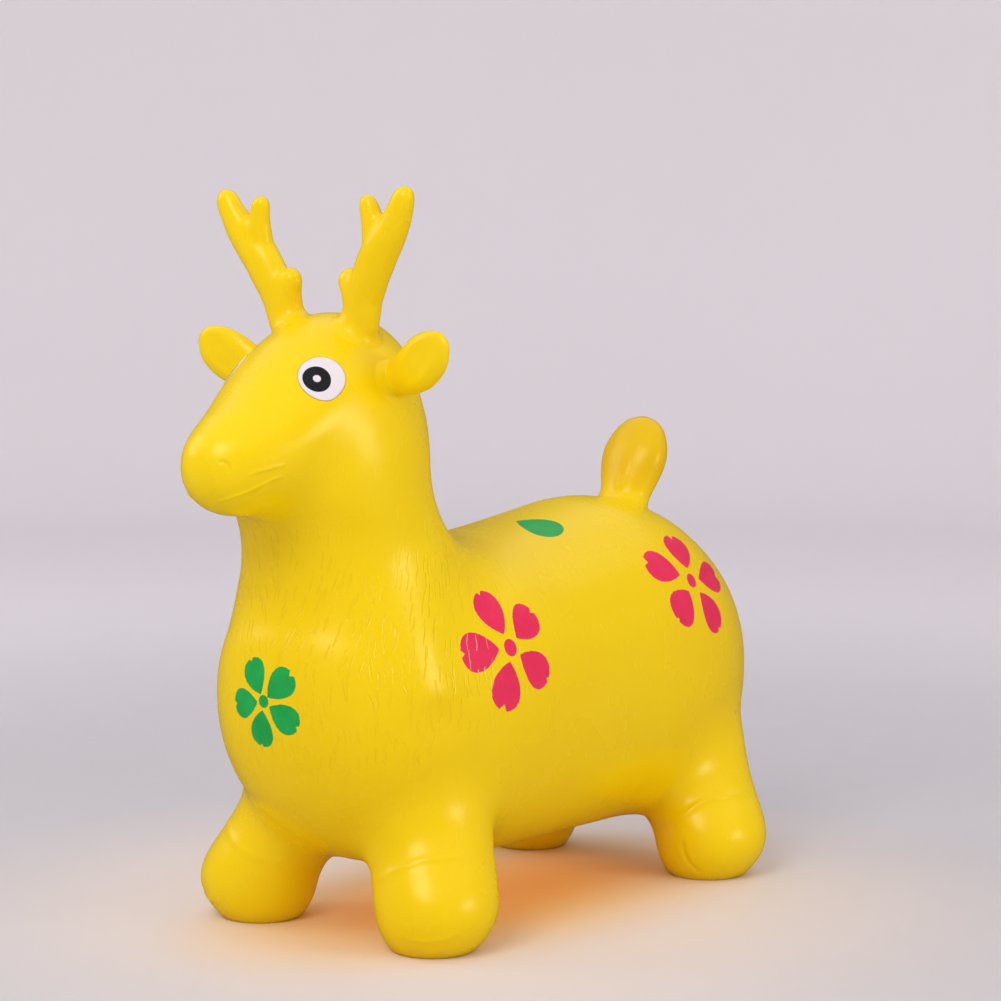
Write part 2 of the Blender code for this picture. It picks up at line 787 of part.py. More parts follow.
def deer():
    clear_scene()
    soft = material("yellow_pvc", YELLOW, SOFT_ROUGHNESS)
    white = material("white_paint", WHITE, PAINT_ROUGHNESS)
    black = material("black_paint", BLACK, PAINT_ROUGHNESS)
    rubber = material("valve_rubber", IVORY, SOFT_ROUGHNESS)

    outside = whole_skin()
    skin = guide("skin", settled(outside, "skin"))
    tree = BVHTree.FromObject(skin, bpy.context.evaluated_depsgraph_get())
    shell = hollow_skin(skin)
    under = moved_skin(skin, "under_paint", GAP)
    over = moved_skin(skin, "over_paint", GAP + PAINT)

    sockets = {}
    for word, side in (("left", 1), ("right", -1)):
        for kind, maker in (("ear", ear), ("antler", antler)):
            name = word + "_" + kind
            obj, centre, sockets[name] = maker(name, side, tree, soft)
            origin_at(obj, centre)
        eye(word + "_eye", side, tree, under, over, white, black)
    obj, centre, sockets["tail"] = tail(tree, soft)
    origin_at(obj, centre)
    valve_hole = valve(tree, under, rubber)

    half_gap = GAP / 2
    domes = []
    ends = (("front", FOOT_TRACK, FRONT_FOOT_Y), ("rear", REAR_FOOT_TRACK, REAR_FOOT_Y))
    for end, track, foot_y in ends:
        for word, side in (("left", 1), ("right", -1)):
            name = end + "_" + word + "_leg"
            leg = skin_zone(name, shell, [leg_tool(name + "_dome", side, track, foot_y, 0)], [])
            finish(leg, soft)
            domes.append(leg_tool(name + "_room", side, track, foot_y, GAP))

    neck_start = above_plane("neck_start", NECK_BASE_SHARES, half_gap)
    neck_end = above_plane("neck_end", NECK_TOP_SHARES, -half_gap)
    torso_end = above_plane("torso_end", NECK_BASE_SHARES, -half_gap)
    head_start = above_plane("head_start", NECK_TOP_SHARES, half_gap)
    torso = skin_zone("torso_skin", shell, [], [torso_end, *domes, sockets["tail"], valve_hole])
    neck = skin_zone("neck_skin", shell, [neck_start], [neck_end])
    head_sockets = [socket for name, socket in sockets.items() if name != "tail"]
    head = skin_zone("head_skin", shell, [head_start], head_sockets)
    for zone in (torso, neck, head):
        finish(zone, soft)


deer()
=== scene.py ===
"""The jumping deer dressed for its picture: soft yellow PVC, printed flowers, eyes and valve.

Metres, +Z up, nose to -Y and left side to +X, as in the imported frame.
"""

import math

import bmesh
import bpy
import numpy
from mathutils import Matrix, Vector, noise
from mathutils.bvhtree import BVHTree
from mathutils.kdtree import KDTree


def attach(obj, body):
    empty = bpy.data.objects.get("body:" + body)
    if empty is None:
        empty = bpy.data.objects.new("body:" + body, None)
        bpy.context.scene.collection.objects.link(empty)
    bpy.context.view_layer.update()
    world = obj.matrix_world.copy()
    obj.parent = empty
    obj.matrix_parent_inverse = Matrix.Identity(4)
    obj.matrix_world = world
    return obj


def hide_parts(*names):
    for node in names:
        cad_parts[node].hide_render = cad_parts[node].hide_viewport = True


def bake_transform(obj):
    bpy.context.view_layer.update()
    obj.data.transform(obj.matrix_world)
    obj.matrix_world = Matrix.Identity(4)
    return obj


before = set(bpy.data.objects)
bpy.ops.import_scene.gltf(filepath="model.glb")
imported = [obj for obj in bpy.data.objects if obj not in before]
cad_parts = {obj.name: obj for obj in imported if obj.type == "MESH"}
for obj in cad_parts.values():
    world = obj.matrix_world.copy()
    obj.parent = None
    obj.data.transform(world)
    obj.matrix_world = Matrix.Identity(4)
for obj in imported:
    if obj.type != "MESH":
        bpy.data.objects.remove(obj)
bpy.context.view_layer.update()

# Skin and limbs: grain of their melted mesh, rounds of smoothing and of filling valleys
SKIN_GRAIN = 0.0032
SKIN_ROUNDS = 39
LIMB_GRAIN = 0.0012
LIMB_ROUNDS = 12
SMOOTH_FACTOR = 0.5
SKIN_FILL_ROUNDS = 132
NAPE_FILL_ROUNDS = 530
NAPE_FILL_REACH = 0.190
LIMB_FILL_ROUNDS = 60
ROOT_FILL_ROUNDS = 220
ROOT_FILL_HEIGHT = 0.011
FILL_TURN_ROUNDS = 10

# Body
BODY_LENGTH = 0.508
BODY_WIDTH = 0.216
SEAT_HEIGHT = 0.295
BELLY_HEIGHT = 0.039
BODY_SETBACK = 0.031

# Legs
FOOT_TRACK = 0.172
REAR_FOOT_TRACK = 0.186
WHEELBASE = 0.322
LEGS_SETBACK = 0.0225
FOOT_DIAMETER = 0.091
LEG_HEIGHT = 0.150
LEG_SPLAY = 0.046
REAR_LEG_SPLAY = 0.057
FRONT_LEG_LEAN = 0.036
REAR_LEG_LEAN = 0.026

# Neck and head
NECK_SETBACK = 0.094
NECK_DIAMETER = 0.158
HEAD_RISE = 0.089
HEAD_FORWARD = 0.028
HEAD_REACH = 0.130
HEAD_DEPTH = 0.120
HEAD_WIDTH = 0.118
NOSE_DROP = 0.044
NOSE_DIAMETER = 0.068

# Ears
EAR_LENGTH = 0.066
EAR_WIDTH = 0.039
EAR_THICKNESS = 0.017
EAR_LIFT = 0.023
EAR_PLACE = 0.015
EAR_SWEEP = 0.006
EAR_ROOT_SETBACK = 0.012
EAR_ROOT_DIAMETER = 0.025
EAR_CUP = 0.0014
EAR_CUP_START = 0.30
EAR_CUP_MIDDLE = 0.62
EAR_CUP_REACH = 0.34
EAR_CUP_BREADTH = 0.80

# Antlers
ANTLER_HEIGHT = 0.100
ANTLER_SPREAD = 0.056
ANTLER_LEAN = 0.012
ANTLER_STANCE = 0.041
BEAM_DIAMETER = 0.025
ANTLER_ROOT_DIAMETER = 0.033
ANTLER_LUMPS = 0.0004
LUMP_START = 0.004
LUMP_FADE = 0.010
LUMP_SCALE = 70

# Tail
TAIL_LENGTH = 0.074
TAIL_WIDTH = 0.057
TAIL_THICKNESS = 0.036
TAIL_SETBACK = 0.032
TAIL_PLACE = 0.097
TAIL_ROOT_DIAMETER = 0.038
TAIL_PLEAT = 0.0009
TAIL_PLEAT_WIDTH = 0.075
TAIL_PLEAT_TURNS = (161.0, 177.0)
TAIL_PLEAT_START = 0.13
TAIL_PLEAT_RISE = 0.10
TAIL_PLEAT_TOP = 0.26
TAIL_PLEAT_FADE = 0.26

# Where a limb grows from the skin
ROOT_SINK_SHARE = 0.35
SKIRT_REACH = 0.046
SKIRT_DEPTH = 0.0060
SKIRT_CUT = 0.0048
SKIRT_THICKNESS = 0.010
SKIRT_DIP = 0.0005
SKIRT_MERGE = 0.0014

# Eyes
EYE_WIDTH = 0.0330
EYE_HEIGHT = 0.0340
EYE_RIM = 0.0005
PUPIL_WIDTH = 0.0198
PUPIL_HEIGHT = 0.0203
GLINT_DIAMETER = 0.0056
EYE_RISE = 0.0155
EYE_FORWARD = 0.0487
PUPIL_FORWARD = 0.0040
PUPIL_DROP = 0.0010
EYE_RIM_LIFT = 0.00022
EYE_WHITE_LIFT = 0.00045
PUPIL_LIFT = 0.00065
GLINT_LIFT = 0.00085
EYE_TILT = 2.0
EYE_FLAT = 0.07
EYE_FLAT_TURN = -140.0
EYE_FLAT_WIDTH = 0.5

# Valve
VALVE_HEIGHT = 0.190
FLANGE_DIAMETER = 0.026
FLANGE_THICKNESS = 0.0022
BORE_DIAMETER = 0.0090
SLEEVE_LENGTH = 0.0160
PLUG_HEAD_DIAMETER = 0.0180
PLUG_HEAD_THICKNESS = 0.0026
PLUG_LENGTH = 0.0150
PLUG_RIBS = 3
PLUG_RIB_START = 0.0030
PLUG_RIB_STEP = 0.0038
PLUG_RIB_HALF = 0.0009
PLUG_RIB_HEIGHT = 0.0005
PLUG_DISH = 0.0012
GRIP_SINK = 0.0010
GRIP_HALF_WIDTH = 0.0011
GRIP_HEIGHT = 0.0013
GRIP_SIDES = 16
CORNER_SOFT = 0.0008
CORNER_FINE = 0.0004
CORNER_STEPS = 5
CORNER_REACH_SHARE = 0.45
GAP = 0.0003

# Places along each form, then its sizes there, as shares of the sizes that it follows
BODY_SHARES = (
    # along, half width, top, bottom
    (-0.500, 0.08, 0.590, 0.500),
    (-0.485, 0.38, 0.715, 0.370),
    (-0.450, 0.64, 0.815, 0.230),
    (-0.390, 0.83, 0.875, 0.110),
    (-0.310, 0.95, 0.910, 0.040),
    (-0.200, 1.00, 0.926, 0.010),
    (-0.050, 0.99, 0.936, 0.000),
    (0.100, 0.97, 0.975, 0.000),
    (0.200, 0.97, 1.000, 0.000),
    (0.290, 0.95, 0.975, 0.005),
    (0.360, 0.88, 0.915, 0.030),
    (0.425, 0.74, 0.825, 0.090),
    (0.470, 0.54, 0.715, 0.190),
    (0.492, 0.32, 0.600, 0.290),
    (0.500, 0.08, 0.500, 0.390),
)
BODY_FULLNESS_SHARE = 0.93
NECK_SHARES = (
    # height from the belly to the head's middle, forward shift, half width, half depth
    (0.400, 0.14, 1.30, 0.96),
    (0.500, 0.16, 1.19, 0.97),
    (0.600, 0.14, 1.04, 0.97),
    (0.660, 0.06, 0.97, 0.99),
    (0.710, 0.24, 0.92, 0.94),
    (0.765, 0.62, 0.90, 0.92),
    (0.820, 0.90, 0.88, 0.95),
    (0.880, 0.96, 0.87, 0.99),
    (0.960, 1.02, 0.82, 0.99),
    (1.040, 1.06, 0.72, 0.88),
)
HEAD_SHARES = (
    # reach, drop, half depth, half width
    (-0.520, 0.04, 0.10, 0.10),
    (-0.480, 0.04, 0.48, 0.48),
    (-0.350, 0.04, 0.82, 0.80),
    (-0.150, 0.04, 0.99, 0.96),
    (0.060, 0.10, 1.03, 1.00),
    (0.260, 0.30, 1.00, 0.98),
    (0.480, 0.58, 0.87, 0.86),
    (0.680, 0.86, 0.69, 0.70),
    (0.840, 0.98, 0.53, 0.54),
    (0.920, 0.99, 0.36, 0.36),
    (0.950, 1.00, 0.08, 0.10),
)
LEG_SHARES = (
    # height, splay out, lean, half width
    (-0.048, 0.90, 0.00, 0.14),
    (-0.040, 0.90, 0.00, 0.38),
    (-0.015, 0.91, 0.00, 0.60),
    (0.050, 0.94, 0.00, 0.80),
    (0.140, 0.98, 0.00, 0.94),
    (0.230, 0.97, 0.03, 0.98),
    (0.340, 0.84, 0.16, 0.98),
    (0.450, 0.64, 0.36, 0.98),
    (0.600, 0.38, 0.62, 1.04),
    (0.800, 0.14, 0.86, 1.10),
    (1.000, 0.00, 1.00, 1.05),
)
EAR_SHARES = (
    # along, half width, half thickness, rise
    (0.00, 0.62, 1.05, -0.08),
    (0.16, 0.68, 1.00, -0.02),
    (0.36, 0.84, 1.00, 0.16),
    (0.57, 0.98, 0.90, 0.43),
    (0.77, 0.88, 0.72, 0.74),
    (0.91, 0.60, 0.48, 0.96),
    (0.98, 0.28, 0.24, 1.04),
    (1.00, 0.08, 0.10, 1.06),
)
BEAM_SHARES = (
    # out, up, half diameter
    (0.00, 0.00, 1.24),
    (0.06, 0.08, 1.14),
    (0.12, 0.16, 1.06),
    (0.22, 0.30, 1.11),
    (0.49, 0.56, 1.13),
    (0.70, 0.70, 1.00),
    (0.86, 0.83, 0.82),
    (0.95, 0.93, 0.70),
    (0.99, 0.98, 0.54),
    (1.01, 1.015, 0.18),
)
TINE_SHARES = (
    # out, up, half diameter
    (0.46, 0.50, 0.90),
    (0.46, 0.68, 0.82),
    (0.43, 0.80, 0.66),
    (0.39, 0.89, 0.57),
    (0.365, 0.935, 0.45),
    (0.355, 0.965, 0.16),
)
WEB_SHARES = (
    # out, up, half diameter
    (0.48, 0.48, 0.90),
    (0.55, 0.60, 0.90),
    (0.59, 0.69, 0.70),
    (0.60, 0.735, 0.46),
    (0.60, 0.755, 0.14),
)
SPUR_WEB_SHARES = (
    # out, up, half diameter
    (0.10, 0.06, 1.04),
    (0.19, 0.24, 1.04),
    (0.20, 0.34, 0.96),
    (0.16, 0.40, 0.72),
    (0.14, 0.43, 0.30),
)
SPUR_SHARES = (
    # out, up, half diameter
    (0.04, 0.02, 0.98),
    (0.09, 0.22, 0.95),
    (0.04, 0.33, 0.86),
    (-0.04, 0.385, 0.74),
    (-0.105, 0.415, 0.54),
    (-0.140, 0.430, 0.16),
)
GRIP_SHARES = (
    # along, half width and height
    (-0.52, 0.30),
    (-0.48, 0.75),
    (-0.40, 1.00),
    (0.40, 1.00),
    (0.48, 0.75),
    (0.52, 0.30),
)
TAIL_SHARES = (
    # along, half width, half thickness
    (0.00, 0.74, 0.92),
    (0.18, 0.76, 0.90),
    (0.33, 0.88, 0.96),
    (0.50, 1.00, 1.00),
    (0.66, 0.99, 0.94),
    (0.84, 0.79, 0.72),
    (0.95, 0.48, 0.44),
    (1.00, 0.08, 0.10),
)

ANTLER_DEPTH_SHARE = 0.86

# Moulded lines on the left side: points near the skin, height of the line and its half width
MOUTH_UPPER = (
    (0.0302, -0.2667, 0.3360),
    (0.0344, -0.2605, 0.3385),
    (0.0386, -0.2534, 0.3403),
    (0.0431, -0.2427, 0.3425),
)
MOUTH_LOWER = (
    (0.0115, -0.2744, 0.3188),
    (0.0202, -0.2708, 0.3217),
    (0.0277, -0.2643, 0.3250),
    (0.0344, -0.2569, 0.3289),
    (0.0395, -0.2487, 0.3327),
    (0.0417, -0.2433, 0.3338),
)
NOSTRIL = (
    (0.0165, -0.2797, 0.3452),
    (0.0199, -0.2780, 0.3455),
    (0.0224, -0.2764, 0.3430),
    (0.0226, -0.2764, 0.3388),
)
FRONT_HOOF = (
    (0.1137, -0.1209, 0.0657),
    (0.1112, -0.1352, 0.0691),
    (0.1015, -0.1536, 0.0695),
    (0.0918, -0.1633, 0.0677),
    (0.0835, -0.1696, 0.0634),
    (0.0716, -0.1744, 0.0575),
    (0.0586, -0.1713, 0.0521),
    (0.0492, -0.1647, 0.0487),
    (0.0444, -0.1594, 0.0455),
)
FRONT_TOE = (
    (0.0902, -0.1780, 0.0161),
    (0.0975, -0.1759, 0.0154),
    (0.1051, -0.1722, 0.0152),
    (0.1119, -0.1676, 0.0161),
    (0.1179, -0.1620, 0.0180),
    (0.1218, -0.1581, 0.0214),
)
REAR_HOOF = (
    (0.0735, 0.1432, 0.0450),
    (0.0850, 0.1418, 0.0478),
    (0.0933, 0.1453, 0.0517),
    (0.0985, 0.1499, 0.0571),
    (0.1047, 0.1583, 0.0629),
    (0.1125, 0.1714, 0.0658),
    (0.1166, 0.1817, 0.0655),
    (0.1160, 0.1975, 0.0622),
)
REAR_TOE = (
    (0.0955, 0.1400, 0.0330),
    (0.0963, 0.1414, 0.0247),
    (0.0989, 0.1444, 0.0159),
    (0.1051, 0.1516, 0.0077),
)
ANTLER_FOLD = (
    (0.0235, -0.1650, 0.4366),
    (0.0254, -0.1590, 0.4360),
    (0.0303, -0.1521, 0.4330),
    (0.0350, -0.1475, 0.4300),
)
MOULDED_LINES = (
    # points, height, half width
    (MOUTH_UPPER, 0.0008, 0.0011),
    (MOUTH_LOWER, 0.0009, 0.0011),
    (NOSTRIL, -0.0011, 0.0011),
    (FRONT_HOOF, 0.0007, 0.0030),
    (FRONT_TOE, 0.0005, 0.0020),
    (REAR_HOOF, 0.0011, 0.0030),
    (REAR_TOE, -0.0011, 0.0020),
    (ANTLER_FOLD, 0.0006, 0.0012),
)
LINE_ZONE_WIDE = 0.0085
LINE_ZONE_NARROW = 0.0050
LINE_CUT_OFF = 4
LINE_SMOOTH_ROUNDS = 3

# Counts, and the distance at which points are one
BODY_SIDES = 48
TUBE_SIDES = 28
BALL_SIDES = 28
ROUND_SIDES = 64
FILL_STEPS = 4
LINE_STEPS = 24
MERGE = 0.00002

# Printed flowers: middle, outward direction, then for each petal its turn in degrees,
# its outer and inner radius, its width and the depth of its notch
FLANK_MIDDLE = (0.0999, -0.0747, 0.2065)
FLANK_OUTWARD = (0.933, -0.040, 0.358)
FLANK_PETALS = (
    (104.7, 0.0455, 0.0104, 0.0290, 0.0030),
    (34.5, 0.0440, 0.0108, 0.0272, 0.0031),
    (178.8, 0.0495, 0.0117, 0.0292, 0.0037),
    (-111.2, 0.0458, 0.0103, 0.0303, 0.0045),
    (-36.9, 0.0440, 0.0100, 0.0272, 0.0025),
)
RUMP_MIDDLE = (0.0907, 0.1577, 0.2324)
RUMP_OUTWARD = (0.909, 0.075, 0.410)
RUMP_PETALS = (
    (83.0, 0.0406, 0.0100, 0.0310, 0.0040),
    (154.8, 0.0530, 0.0140, 0.0262, 0.0045),
    (1.3, 0.0520, 0.0115, 0.0270, 0.0060),
    (-139.3, 0.0420, 0.0115, 0.0320, 0.0022),
    (-58.9, 0.0484, 0.0118, 0.0258, 0.0025),
)
CHEST_MIDDLE = (0.0014, -0.2227, 0.1765)
CHEST_OUTWARD = (0.016, -1.000, -0.009)
CHEST_PETALS = (
    (118.0, 0.0322, 0.0053, 0.0212, 0.0023),
    (42.0, 0.0317, 0.0048, 0.0223, 0.0031),
    (-170.8, 0.0320, 0.0058, 0.0214, 0.0025),
    (-100.8, 0.0333, 0.0062, 0.0214, 0.0020),
    (-30.8, 0.0328, 0.0059, 0.0215, 0.0023),
)
LEAF_MIDDLE = (0.0295, 0.0465, 0.2795)
LEAF_OUTWARD = (0.260, -0.130, 0.957)
LEAF_SHIFT = (0.0118, -0.0143, 0.0)
LEAF_TURN = -51.9
LEAF_OUTER = 0.0371
LEAF_INNER = -0.0007
LEAF_WIDTH = 0.0344
PETAL_ROOT_POWER = 0.9
PETAL_TIP_POWER = 0.5
PETAL_PEAK = 2.495
PETAL_NOTCH_SLOPE = 1.15
PRINT_SHARPNESS = 2600.0
PRINT_RAGGED = 0.0011
PRINT_REACH_FADE = 0.002
PRINT_DOT_SHARE = 0.140
PRINT_REACH = 0.062

# Colours in linear light
BLACK = (0.0, 0.0, 0.0, 1.0)
NO_TINT = (1.0, 1.0, 1.0, 1.0)
YELLOW_LIGHT = (0.965, 0.690, 0.0020, 1.0)
YELLOW_DEEP = (0.945, 0.655, 0.0015, 1.0)
# Painted shade: the tail's yellow is multiplied darker, from just below the top of the back upward
TAIL_PAINTED_SHADE = (0.87, 0.78, 0.60, 1.0)
PAINTED_SHADE_START = SEAT_HEIGHT - 0.008
PAINTED_SHADE_END = SEAT_HEIGHT + 0.022
PINK = (0.900, 0.026, 0.112, 1.0)
PINK_DEEP = (0.830, 0.021, 0.096, 1.0)
PINK_STAIN = (0.86, 0.42, 0.45, 1.0)
PINK_STAIN_SHARE = 0.75
GREEN = (0.006, 0.450, 0.085, 1.0)
GREEN_DEEP = (0.005, 0.380, 0.068, 1.0)
EYE_WHITE = (0.840, 0.790, 0.825, 1.0)
EYE_BLACK = (0.0075, 0.0070, 0.0080, 1.0)
EYE_LINE = (0.600, 0.380, 0.060, 1.0)
VALVE_IVORY = (0.720, 0.640, 0.470, 1.0)
DUST = (0.420, 0.330, 0.200, 1.0)
STUDIO_WALL = (0.900, 0.862, 0.875, 1.0)
# Painted shade: the floor is a darker grey near the toy than the wall's tone further out
STUDIO_FLOOR_PAINTED_SHADE = (0.650, 0.628, 0.650, 1.0)
# Painted warm bounce light on the floor round the toy
STUDIO_PAINTED_BOUNCE = (0.880, 0.780, 0.730, 1.0)
STUDIO_SHADE = (0.980, 0.610, 0.190, 1.0)
STUDIO_SHADE_SHAPE = (1.8, 1.0, 1.0)
# Share by which the paper is painted darker in glossy reflections: painted shade on the toy's
# reflections
STUDIO_REFLECTION_DARKENING = 0.84

# Finish of the surfaces
PVC_IOR = 1.45
PVC_SPECULAR = 0.50
PVC_GLOSS_TINT = (1.0, 0.90, 0.55, 1.0)
PVC_BUMP = 0.001
SATIN_LOW = 0.24
SATIN_HIGH = 0.30
RUB_SHARE = 0.05
SPECK_SHARE = 0.05
SCUFF_HEIGHT = 0.012
SCUFF_SHARE = 0.16
FINE_BUMP = 0.035
BROAD_BUMP = 0.16
PRINT_BUMP = 0.06
PAINT_BUMP = 0.00006
PAINT_SPECULAR = 0.20
PAPER_BUMP = 0.0001

# Fur strokes
FUR_CHEST_BACK = 0.115
FUR_CHEST_RADIUS = 0.105
FUR_SLANT = -0.022
FUR_WAVE = 0.0065
FUR_SPACING = 0.0062
FUR_LENGTH = 0.0190
FUR_BUMP = -0.29

# Camera
CAMERA_PLACE = (1.35698, -1.62922, 0.48603)
CAMERA_TURN = 39.163
CAMERA_DIP = 5.019
CAMERA_LENS = 102.96
CAMERA_SENSOR = 36.0
CAMERA_FAR = 50

# Studio
STUDIO_HALF = 4.2
STUDIO_COVE = 1.3
STUDIO_HEIGHT = 3.2
STUDIO_STEPS = 16
WORLD_STRENGTH = 0.80
LAMPS = (
    # name, turn, rise, distance, width and height, power, colour
    ("key_lamp", 14, 40, 2.5, (1.1, 1.0), 18, (1.0, 0.985, 0.96)),
    ("side_lamp", 98, 13, 2.4, (0.8, 0.6), 9.5, (1.0, 0.98, 0.97)),
    ("far_lamp", -62, 30, 2.6, (1.2, 1.2), 8, (0.98, 0.98, 1.0)),
)
LAMP_AIM = (0, 0, 0.22)
GLOW_LAMP = ("glow_lamp", 0, 90, 0.036, (0.13, 0.30), 0.024, (1.0, 0.42, 0.03))
GLOW_AIM = (0, 0.03, 0)
AIR_COLOUR = (0.96, 0.94, 0.99, 1.0)

# Places that follow from the sizes
BODY_DEPTH = SEAT_HEIGHT - BELLY_HEIGHT
CHEST_Y = BODY_SETBACK - BODY_LENGTH / 2
RUMP_Y = BODY_SETBACK + BODY_LENGTH / 2
NECK_Y = CHEST_Y + NECK_SETBACK
HEAD_Y = NECK_Y - HEAD_FORWARD
HEAD_Z = SEAT_HEIGHT + HEAD_RISE
FRONT_FOOT_Y = LEGS_SETBACK - WHEELBASE / 2
REAR_FOOT_Y = LEGS_SETBACK + WHEELBASE / 2


# Mesh helpers


def shown(name, data):
    obj = bpy.data.objects.new(name, data)
    bpy.context.scene.collection.objects.link(obj)
    return obj


def mesh_from(bm, name):
    mesh = bpy.data.meshes.new(name)
    bm.to_mesh(mesh)
    bm.free()
    return mesh


def opened(mesh):
    bm = bmesh.new()
    bm.from_mesh(mesh)
    bm.normal_update()
    return bm


def cut_below(bm, place, upward):
    """Cuts away what lies below a plane, and gives the rim that is left."""
    geom = bm.verts[:] + bm.edges[:] + bm.faces[:]
    bmesh.ops.bisect_plane(
        bm, geom=geom, dist=0, plane_co=place, plane_no=upward, clear_inner=True
    )
    return [edge for edge in bm.edges if edge.is_boundary]


def push(bm, height_at):
    """Moves each point along its normal by the height that it is given."""
    bm.normal_update()
    moves = [vert.normal * height_at(vert) for vert in bm.verts]
    for vert, move in zip(bm.verts, moves):
        vert.co += move


def curve_between(p, q, r, s, t):
    """The value at a share t of the way from q to r, on a smooth curve through p, q, r and s."""
    slope = r - p
    bend = 2 * p - 5 * q + 4 * r - s
    twist = 3 * (q - r) + s - p
    return q + t * (slope + t * (bend + t * twist)) / 2


def through(rows, steps=FILL_STEPS):
    """The rows with more filled in between, on a smooth curve that passes through each."""
    filled = []
    last = len(rows) - 1
    for k in range(last):
        near = (rows[max(k - 1, 0)], rows[k], rows[k + 1], rows[min(k + 2, last)])
        for step in range(steps):
            t = step / steps
            filled.append([curve_between(*values, t) for values in zip(*near)])
    filled.append(list(rows[last]))
    return filled


def loft(bm, rings, sides, fullness_share=1.0):
    """Skins a closed form over rings, each a centre with the half size across and along it."""
    loops = []
    for centre, across, along in rings:
        made = bmesh.ops.create_circle(bm, cap_ends=False, radius=1, segments=sides)
        square = Matrix((across, along, across.cross(along).normalized())).transposed()
        for vert in made["verts"]:
            fuller = [math.copysign(abs(share) ** fullness_share, share) for share in vert.co[:2]]
            vert.co = Vector(centre) + square @ Vector((*fuller, 0))
        edges = [edge for vert in made["verts"] for edge in vert.link_edges]
        loops.append(list(dict.fromkeys(edges)))
    for near, far in zip(loops, loops[1:]):
        bmesh.ops.bridge_loops(bm, edges=near + far)
    bmesh.ops.edgeloop_fill(bm, edges=loops[0])
    bmesh.ops.edgeloop_fill(bm, edges=loops[-1])


def tube_rings(points, halves, thin):
    """Rings square to a path of points, with their half sizes across it and to the back."""
    rings = []
    last = len(points) - 1
    for k, (point, half, half_thin) in enumerate(zip(points, halves, thin)):
        ahead = (points[min(k + 1, last)] - points[max(k - 1, 0)]).normalized()
        across = Vector((0, 1, 0)).cross(ahead).normalized()
        rings.append((point, across * half, ahead.cross(across) * half_thin))
    return rings


def turned(bm, outline, place):
    """Turns an outline of radius and height round its own axis, then places it."""
    verts = [bm.verts.new((radius, 0, height)) for radius, height in outline]
    edges = [bm.edges.new(pair) for pair in zip(verts, verts[1:])]
    bmesh.ops.spin(
        bm,
        geom=verts + edges,
        axis=(0, 0, 1),
        cent=(0, 0, 0),
        angle=math.tau,
        steps=ROUND_SIDES,
        use_merge=True,
    )
    bmesh.ops.remove_doubles(bm, verts=bm.verts, dist=MERGE)
    bmesh.ops.recalc_face_normals(bm, faces=bm.faces)
    bmesh.ops.transform(bm, matrix=place, verts=bm.verts)


def melted(name, form, grain, rounds):
    """One smooth skin over forms that overlap, with the valleys between them softened."""
    bmesh.ops.recalc_face_normals(form, faces=form.faces)
    rough = shown(name, mesh_from(form, name))
    remesh = rough.modifiers.new("remesh", "REMESH")
    remesh.mode = "VOXEL"
    remesh.voxel_size = grain
    smooth = rough.modifiers.new("smooth", "SMOOTH")
    smooth.factor = SMOOTH_FACTOR
    smooth.iterations = rounds
    graph = bpy.context.evaluated_depsgraph_get()
    mesh = bpy.data.meshes.new_from_object(rough.evaluated_get(graph))
    bpy.data.objects.remove(rough, do_unlink=True)
    return opened(mesh)


def fill_valleys(bm, rounds, shares=1.0):
    """Fills the valleys between joined forms with a soft curve and thins nothing."""
    bm.verts.index_update()
    ends = numpy.array([[vert.index for vert in edge.verts] for edge in bm.edges])
    here = ends.ravel()
    there = ends[:, ::-1].ravel()
    count = numpy.bincount(here, minlength=len(bm.verts))
    places = numpy.array([vert.co[:] for vert in bm.verts])
    for turn in range(rounds):
        if turn % FILL_TURN_ROUNDS == 0:
            for vert, place in zip(bm.verts, places):
                vert.co = place
            bm.normal_update()
            normals = numpy.array([vert.normal[:] for vert in bm.verts])
        sums = [numpy.bincount(here, places[there, k], len(bm.verts)) for k in range(3)]
        beside = numpy.stack(sums, axis=1) / count[:, None]
        rise = ((beside - places) * normals).sum(axis=1)
        places += normals * (numpy.maximum(rise, 0.0) * shares)[:, None]
    for vert, place in zip(bm.verts, places):
        vert.co = place
    bm.normal_update()


def ease(value):
    """A smooth step from 0 to 1."""
    value = min(max(value, 0.0), 1.0)
    return value * value * (3 - 2 * value)


def finished(name, bm, material):
    """The piece of a finished bmesh, with its rest place kept on every point for its material."""
    mesh = mesh_from(bm, name)
    rest = mesh.attributes.new("rest", "FLOAT_VECTOR", "POINT")
    for point, vert in zip(rest.data, mesh.vertices):
        point.vector = vert.co
    mesh.shade_smooth()
    mesh.materials.append(material)
    return shown(name, mesh)


# Forms


def body_form(bm):
    rings = []
    for along, half, top, bottom in through(BODY_SHARES):
        middle = BELLY_HEIGHT + BODY_DEPTH * (top + bottom) / 2
        centre = Vector((0, BODY_SETBACK + along * BODY_LENGTH, middle))
        across = Vector((half * BODY_WIDTH / 2, 0, 0))
        rise = Vector((0, 0, BODY_DEPTH * (top - bottom) / 2))
        rings.append((centre, across, rise))
    loft(bm, rings, BODY_SIDES, BODY_FULLNESS_SHARE)


def neck_form(bm):
    rings = []
    for up, forward, half, depth in through(NECK_SHARES):
        height = BELLY_HEIGHT + up * (HEAD_Z - BELLY_HEIGHT)
        centre = Vector((0, NECK_Y - forward * HEAD_FORWARD, height))
        across = Vector((half * NECK_DIAMETER / 2, 0, 0))
        along = Vector((0, depth * NECK_DIAMETER / 2, 0))
        rings.append((centre, across, along))
    loft(bm, rings, BODY_SIDES)


